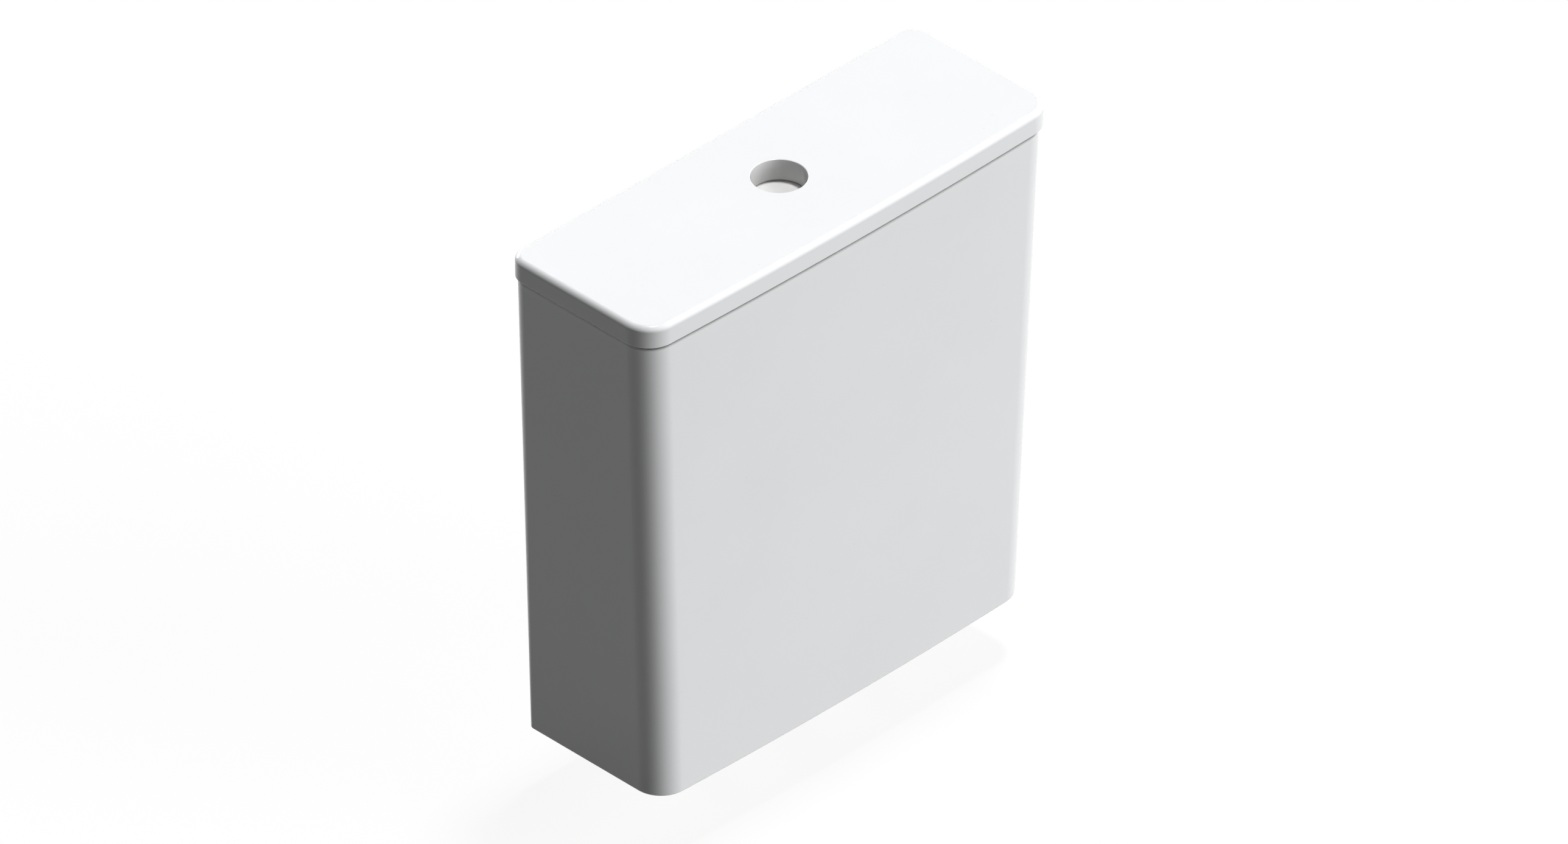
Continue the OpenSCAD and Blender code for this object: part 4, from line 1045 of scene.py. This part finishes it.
def make_filter():
    """The inlet's slotted strainer."""
    low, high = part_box("inlet_filter")
    centre_x, radius = middle_x("inlet_filter"), radius_of("inlet_filter")
    columns, rows = 48, 36
    foot, head = 5, 2
    slot_rows, slot_columns, bar = 3, 6, 2
    made = bmesh.new()
    grid = [
        [
            made.verts.new((
                centre_x + radius * math.cos(2 * math.pi * i / columns),
                radius * math.sin(2 * math.pi * i / columns),
                low.z + (high.z - low.z) * j / rows,
            ))
            for i in range(columns)
        ]
        for j in range(rows + 1)
    ]
    for j in range(rows):
        for i in range(columns):
            slotted = foot <= j < rows - head and j % slot_rows and i % slot_columns >= bar
            if not slotted:
                k = (i + 1) % columns
                made.faces.new((grid[j][i], grid[j][k], grid[j + 1][k], grid[j + 1][i]))
    made.faces.new(grid[rows])
    loose = [v for v in made.verts if not v.link_faces]
    bmesh.ops.delete(made, geom=loose, context="VERTS")
    bmesh.ops.recalc_face_normals(made, faces=made.faces)
    strainer = solid_object(made, "inlet_strainer")
    skin = strainer.modifiers.new("wall", "SOLIDIFY")
    skin.thickness, skin.offset = 0.8 * MM, -1
    finish_piece(strainer, "root", "blue_plastic", "inlet_filter")


def make_rod(fittings):
    """The adjusting rod with its thread, its stop and its fluted, slotted knob."""
    low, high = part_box("adjuster_rod")
    centre_x, knob_r, rod_r = middle_x("adjuster_rod"), (high.x - low.x) / 2, fittings.rod_r
    knob_z, stop_low = high.z - 7 * MM, high.z - 14 * MM
    stop_top = stop_low + 2 * MM
    soft, point, plain, cut = 0.4 * MM, 0.5 * MM, 2 * MM, 0.4 * MM
    crown, step = 1.2 * MM, 0.1 * MM
    profile = [(0, low.z), (rod_r - point, low.z), (rod_r - step, low.z + point)]
    profile += thread(rod_r, low.z + point, stop_low - plain, fittings.rod_pitch, cut)
    profile += [
        (rod_r, stop_low), (knob_r - soft, stop_low), (knob_r, stop_low + soft),
        (knob_r, stop_top - soft), (knob_r - soft, stop_top), (rod_r, stop_top),
        (rod_r, knob_z), (knob_r - soft, knob_z), (knob_r, knob_z + soft),
        (knob_r, high.z - crown), (knob_r - soft, high.z - soft), (knob_r - crown, high.z),
        (0, high.z),
    ]
    flutes = (knob_z + soft / 2, high.z - soft / 2, 14, 0.5 * MM, knob_r - 0.6 * MM)
    rod = solid_object(turned(profile, 84, (centre_x, 0), flutes), "level_rod")
    slot_depth, slot_width = 1.4 * MM, 1 * MM
    slot = slot_tool(centre_x, knob_r + 1 * MM, high.z, slot_depth, slot_width)
    combine(rod, slot, "DIFFERENCE")
    finish_piece(rod, "level_screw", "grey_plastic", "adjuster_rod")


def make_spring(name, node, fittings):
    """A coil of round wire with closed ends."""
    low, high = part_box(node)
    wire_r = fittings.wire / 2
    radius = (high.x - low.x) / 2 - wire_r
    centre_x, centre_y = middle_x(node), (low.y + high.y) / 2
    turns, closed, per_turn, sides = 6.5, 0.9, 24, 10
    foot, tip = low.z + wire_r, high.z - wire_r
    spread = tip - foot - 2 * closed * fittings.wire
    made = bmesh.new()
    rings = []
    for i in range(round(turns * per_turn) + 1):
        turn = i / per_turn
        if turn < closed:
            z = foot + turn * fittings.wire
        elif turn > turns - closed:
            z = tip - (turns - turn) * fittings.wire
        else:
            z = foot + closed * fittings.wire + spread * (turn - closed) / (turns - 2 * closed)
        angle = 2 * math.pi * turn
        out = Vector((math.cos(angle), math.sin(angle), 0))
        middle = Vector((centre_x, centre_y, z)) + out * radius
        rings.append([
            made.verts.new(
                middle
                + out * wire_r * math.cos(2 * math.pi * k / sides)
                + Vector((0, 0, wire_r * math.sin(2 * math.pi * k / sides)))
            )
            for k in range(sides)
        ])
    for here, there in zip(rings, rings[1:]):
        bridge(made, here, there)
    made.faces.new(rings[0])
    made.faces.new(rings[-1])
    bmesh.ops.recalc_face_normals(made, faces=made.faces)
    coil = solid_object(made, name)
    finish_piece(coil, "root", "steel", node, 60.0)
    coil.modifiers.clear()
    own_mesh(coil)


# Stage


def add_sun(name, energy, toward, width, glint):
    """A far lamp. Without a glint it isn't mirrored in gloss."""
    light = bpy.data.lights.new(name, "SUN")
    light.energy, light.angle = energy, math.radians(width)
    lamp = bpy.data.objects.new(name, light)
    lamp.rotation_mode = "QUATERNION"
    lamp.rotation_quaternion = Vector(toward).to_track_quat("Z", "Y")
    lamp.visible_glossy = glint
    bpy.context.scene.collection.objects.link(lamp)


def seen_directly(tree):
    """1 for rays from the camera and those that metal, gloss or glass sends on."""
    path = tree.add("LightPath").outputs
    shiny = tree.maths("MAXIMUM", path["Is Glossy Ray"], path["Is Transmission Ray"])
    return tree.maths("MAXIMUM", path["Is Camera Ray"], shiny)


def make_floor(stage):
    """A pale floor that is white from above, keeps the shadow, and is clear from below."""
    half = 60.0
    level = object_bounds()[0].z
    mesh = bpy.data.meshes.new("floor")
    mesh.from_pydata(
        [(-half, -half, level), (half, -half, level), (half, half, level), (-half, half, level)],
        [],
        [(0, 1, 2, 3)],
    )
    floor = bpy.data.objects.new("floor", mesh)
    bpy.context.scene.collection.objects.link(floor)
    floor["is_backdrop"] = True
    material = bpy.data.materials.new("pale_floor")
    material.use_nodes = True
    material.node_tree.nodes.clear()
    tree = Tree(material.node_tree)
    direct = seen_directly(tree)
    dim, pale = (0.10, 0.10, 0.10, 1.0), (0.93, 0.93, 0.93, 1.0)
    tint = tree.mix(direct, dim, pale)
    matt = tree.add("BsdfDiffuse", {"Color": tint})
    glow = tree.add("Emission", {"Strength": 1.0})
    amount = tree.maths("MULTIPLY", direct, 1 - stage.shadow)
    both = tree.add("MixShader", {0: amount, 1: matt.outputs[0], 2: glow.outputs[0]})
    clear = tree.add("BsdfTransparent")
    under = tree.add("NewGeometry").outputs["Backfacing"]
    shown = tree.add("MixShader", {0: under, 1: both.outputs[0], 2: clear.outputs[0]})
    tree.add("OutputMaterial", {"Surface": shown.outputs[0]})
    floor.data.materials.append(material)
    floor.visible_shadow = False


def make_world(stage):
    world = bpy.data.worlds.new("studio")
    world.use_nodes = True
    world.node_tree.nodes.clear()
    tree = Tree(world.node_tree)
    strength = tree.spread(seen_directly(tree), 0.0, 1.0, stage.sky, 1.0)
    white = (1.0, 1.0, 1.0, 1.0)
    background = tree.add("Background", {"Color": white, "Strength": strength})
    tree.add("OutputWorld", {"Surface": background.outputs[0]})
    bpy.context.scene.world = world


def make_stage(stage):
    scene = bpy.context.scene
    make_floor(stage)
    make_world(stage)
    for name, (toward, width, glint) in SUNS.items():
        add_sun(name, getattr(stage, name), toward, width, glint)
    camera_data = bpy.data.cameras.new("camera")
    camera_data.lens = stage.lens
    camera_data.clip_end = 200
    camera = bpy.data.objects.new("camera", camera_data)
    scene.collection.objects.link(camera)
    camera.location = Vector(stage.aim) - PHOTO_VIEW * stage.distance
    camera.rotation_mode = "QUATERNION"
    camera.rotation_quaternion = PHOTO_VIEW.to_track_quat("-Z", "Y")
    scene.camera = camera
    scene.view_settings.view_transform = "Standard"


# Operators and panel


class CISTERN_OT_finishes(bpy.types.Operator):
    """Make the glaze, plastics, rubbers and metals"""

    bl_idname = "cistern.finishes"
    bl_label = "Finishes"

    def execute(self, context):
        make_materials(context.scene.cistern_ware, context.scene.cistern_fittings)
        return {"FINISHED"}


class CISTERN_OT_ware(bpy.types.Operator):
    """Make the ceramic tank and lid"""

    bl_idname = "cistern.ware"
    bl_label = "Tank and lid"

    def execute(self, context):
        make_tank(context.scene.cistern_ware)
        make_lid(context.scene.cistern_ware)
        return {"FINISHED"}


class CISTERN_OT_coupling(bpy.types.Operator):
    """Make the bolts, nuts, washers and seals that hold the tank to its pan"""

    bl_idname = "cistern.coupling"
    bl_label = "Coupling kit"

    def execute(self, context):
        fittings = context.scene.cistern_fittings
        make_bolts(fittings)
        make_wing_nuts(fittings)
        make_doughnut(fittings)
        dress_group("coupling", fittings)
        return {"FINISHED"}


class CISTERN_OT_flush_valve(bpy.types.Operator):
    """Make the flush valve from its tail to its plungers"""

    bl_idname = "cistern.flush_valve"
    bl_label = "Flush valve"

    def execute(self, context):
        fittings = context.scene.cistern_fittings
        make_valve_base(fittings)
        make_spring("full_coil", "full_spring", fittings)
        make_spring("half_coil", "half_spring", fittings)
        dress_group("flush_valve", fittings)
        return {"FINISHED"}


class CISTERN_OT_fill_valve(bpy.types.Operator):
    """Make the fill valve from its shank to its float"""

    bl_idname = "cistern.fill_valve"
    bl_label = "Fill valve"

    def execute(self, context):
        fittings = context.scene.cistern_fittings
        make_shank(fittings)
        make_filter()
        make_rod(fittings)
        dress_group("fill_valve", fittings)
        return {"FINISHED"}


class CISTERN_OT_stage(bpy.types.Operator):
    """Make the floor, the light and the camera"""

    bl_idname = "cistern.stage"
    bl_label = "Stage"

    def execute(self, context):
        make_stage(context.scene.cistern_stage)
        return {"FINISHED"}


OPERATORS = (
    CISTERN_OT_finishes,
    CISTERN_OT_ware,
    CISTERN_OT_coupling,
    CISTERN_OT_flush_valve,
    CISTERN_OT_fill_valve,
    CISTERN_OT_stage,
)
SETTINGS = {
    "cistern_ware": WareSettings,
    "cistern_fittings": FittingSettings,
    "cistern_stage": StageSettings,
}


class CISTERN_PT_panel(bpy.types.Panel):
    """Settings and steps of the cistern"""

    bl_idname = "CISTERN_PT_panel"
    bl_label = "Cistern"
    bl_space_type = "VIEW_3D"
    bl_region_type = "UI"
    bl_category = "Cistern"

    def draw(self, context):
        for operator in OPERATORS:
            self.layout.operator(operator.bl_idname)
        for holder, settings in SETTINGS.items():
            box = self.layout.box()
            for name in settings.__annotations__:
                box.prop(getattr(context.scene, holder), name)


def register():
    for cls in (*SETTINGS.values(), *OPERATORS, CISTERN_PT_panel):
        bpy.utils.register_class(cls)
    for holder, settings in SETTINGS.items():
        setattr(bpy.types.Scene, holder, bpy.props.PointerProperty(type=settings))


def unregister():
    for holder in SETTINGS:
        delattr(bpy.types.Scene, holder)
    for cls in (CISTERN_PT_panel, *reversed(OPERATORS), *SETTINGS.values()):
        bpy.utils.unregister_class(cls)


def main():
    register()
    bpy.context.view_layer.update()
    for operator in OPERATORS:
        step = operator.bl_idname.split(".")[1]
        getattr(bpy.ops.cistern, step)()


if __name__ == "__main__":
    main()
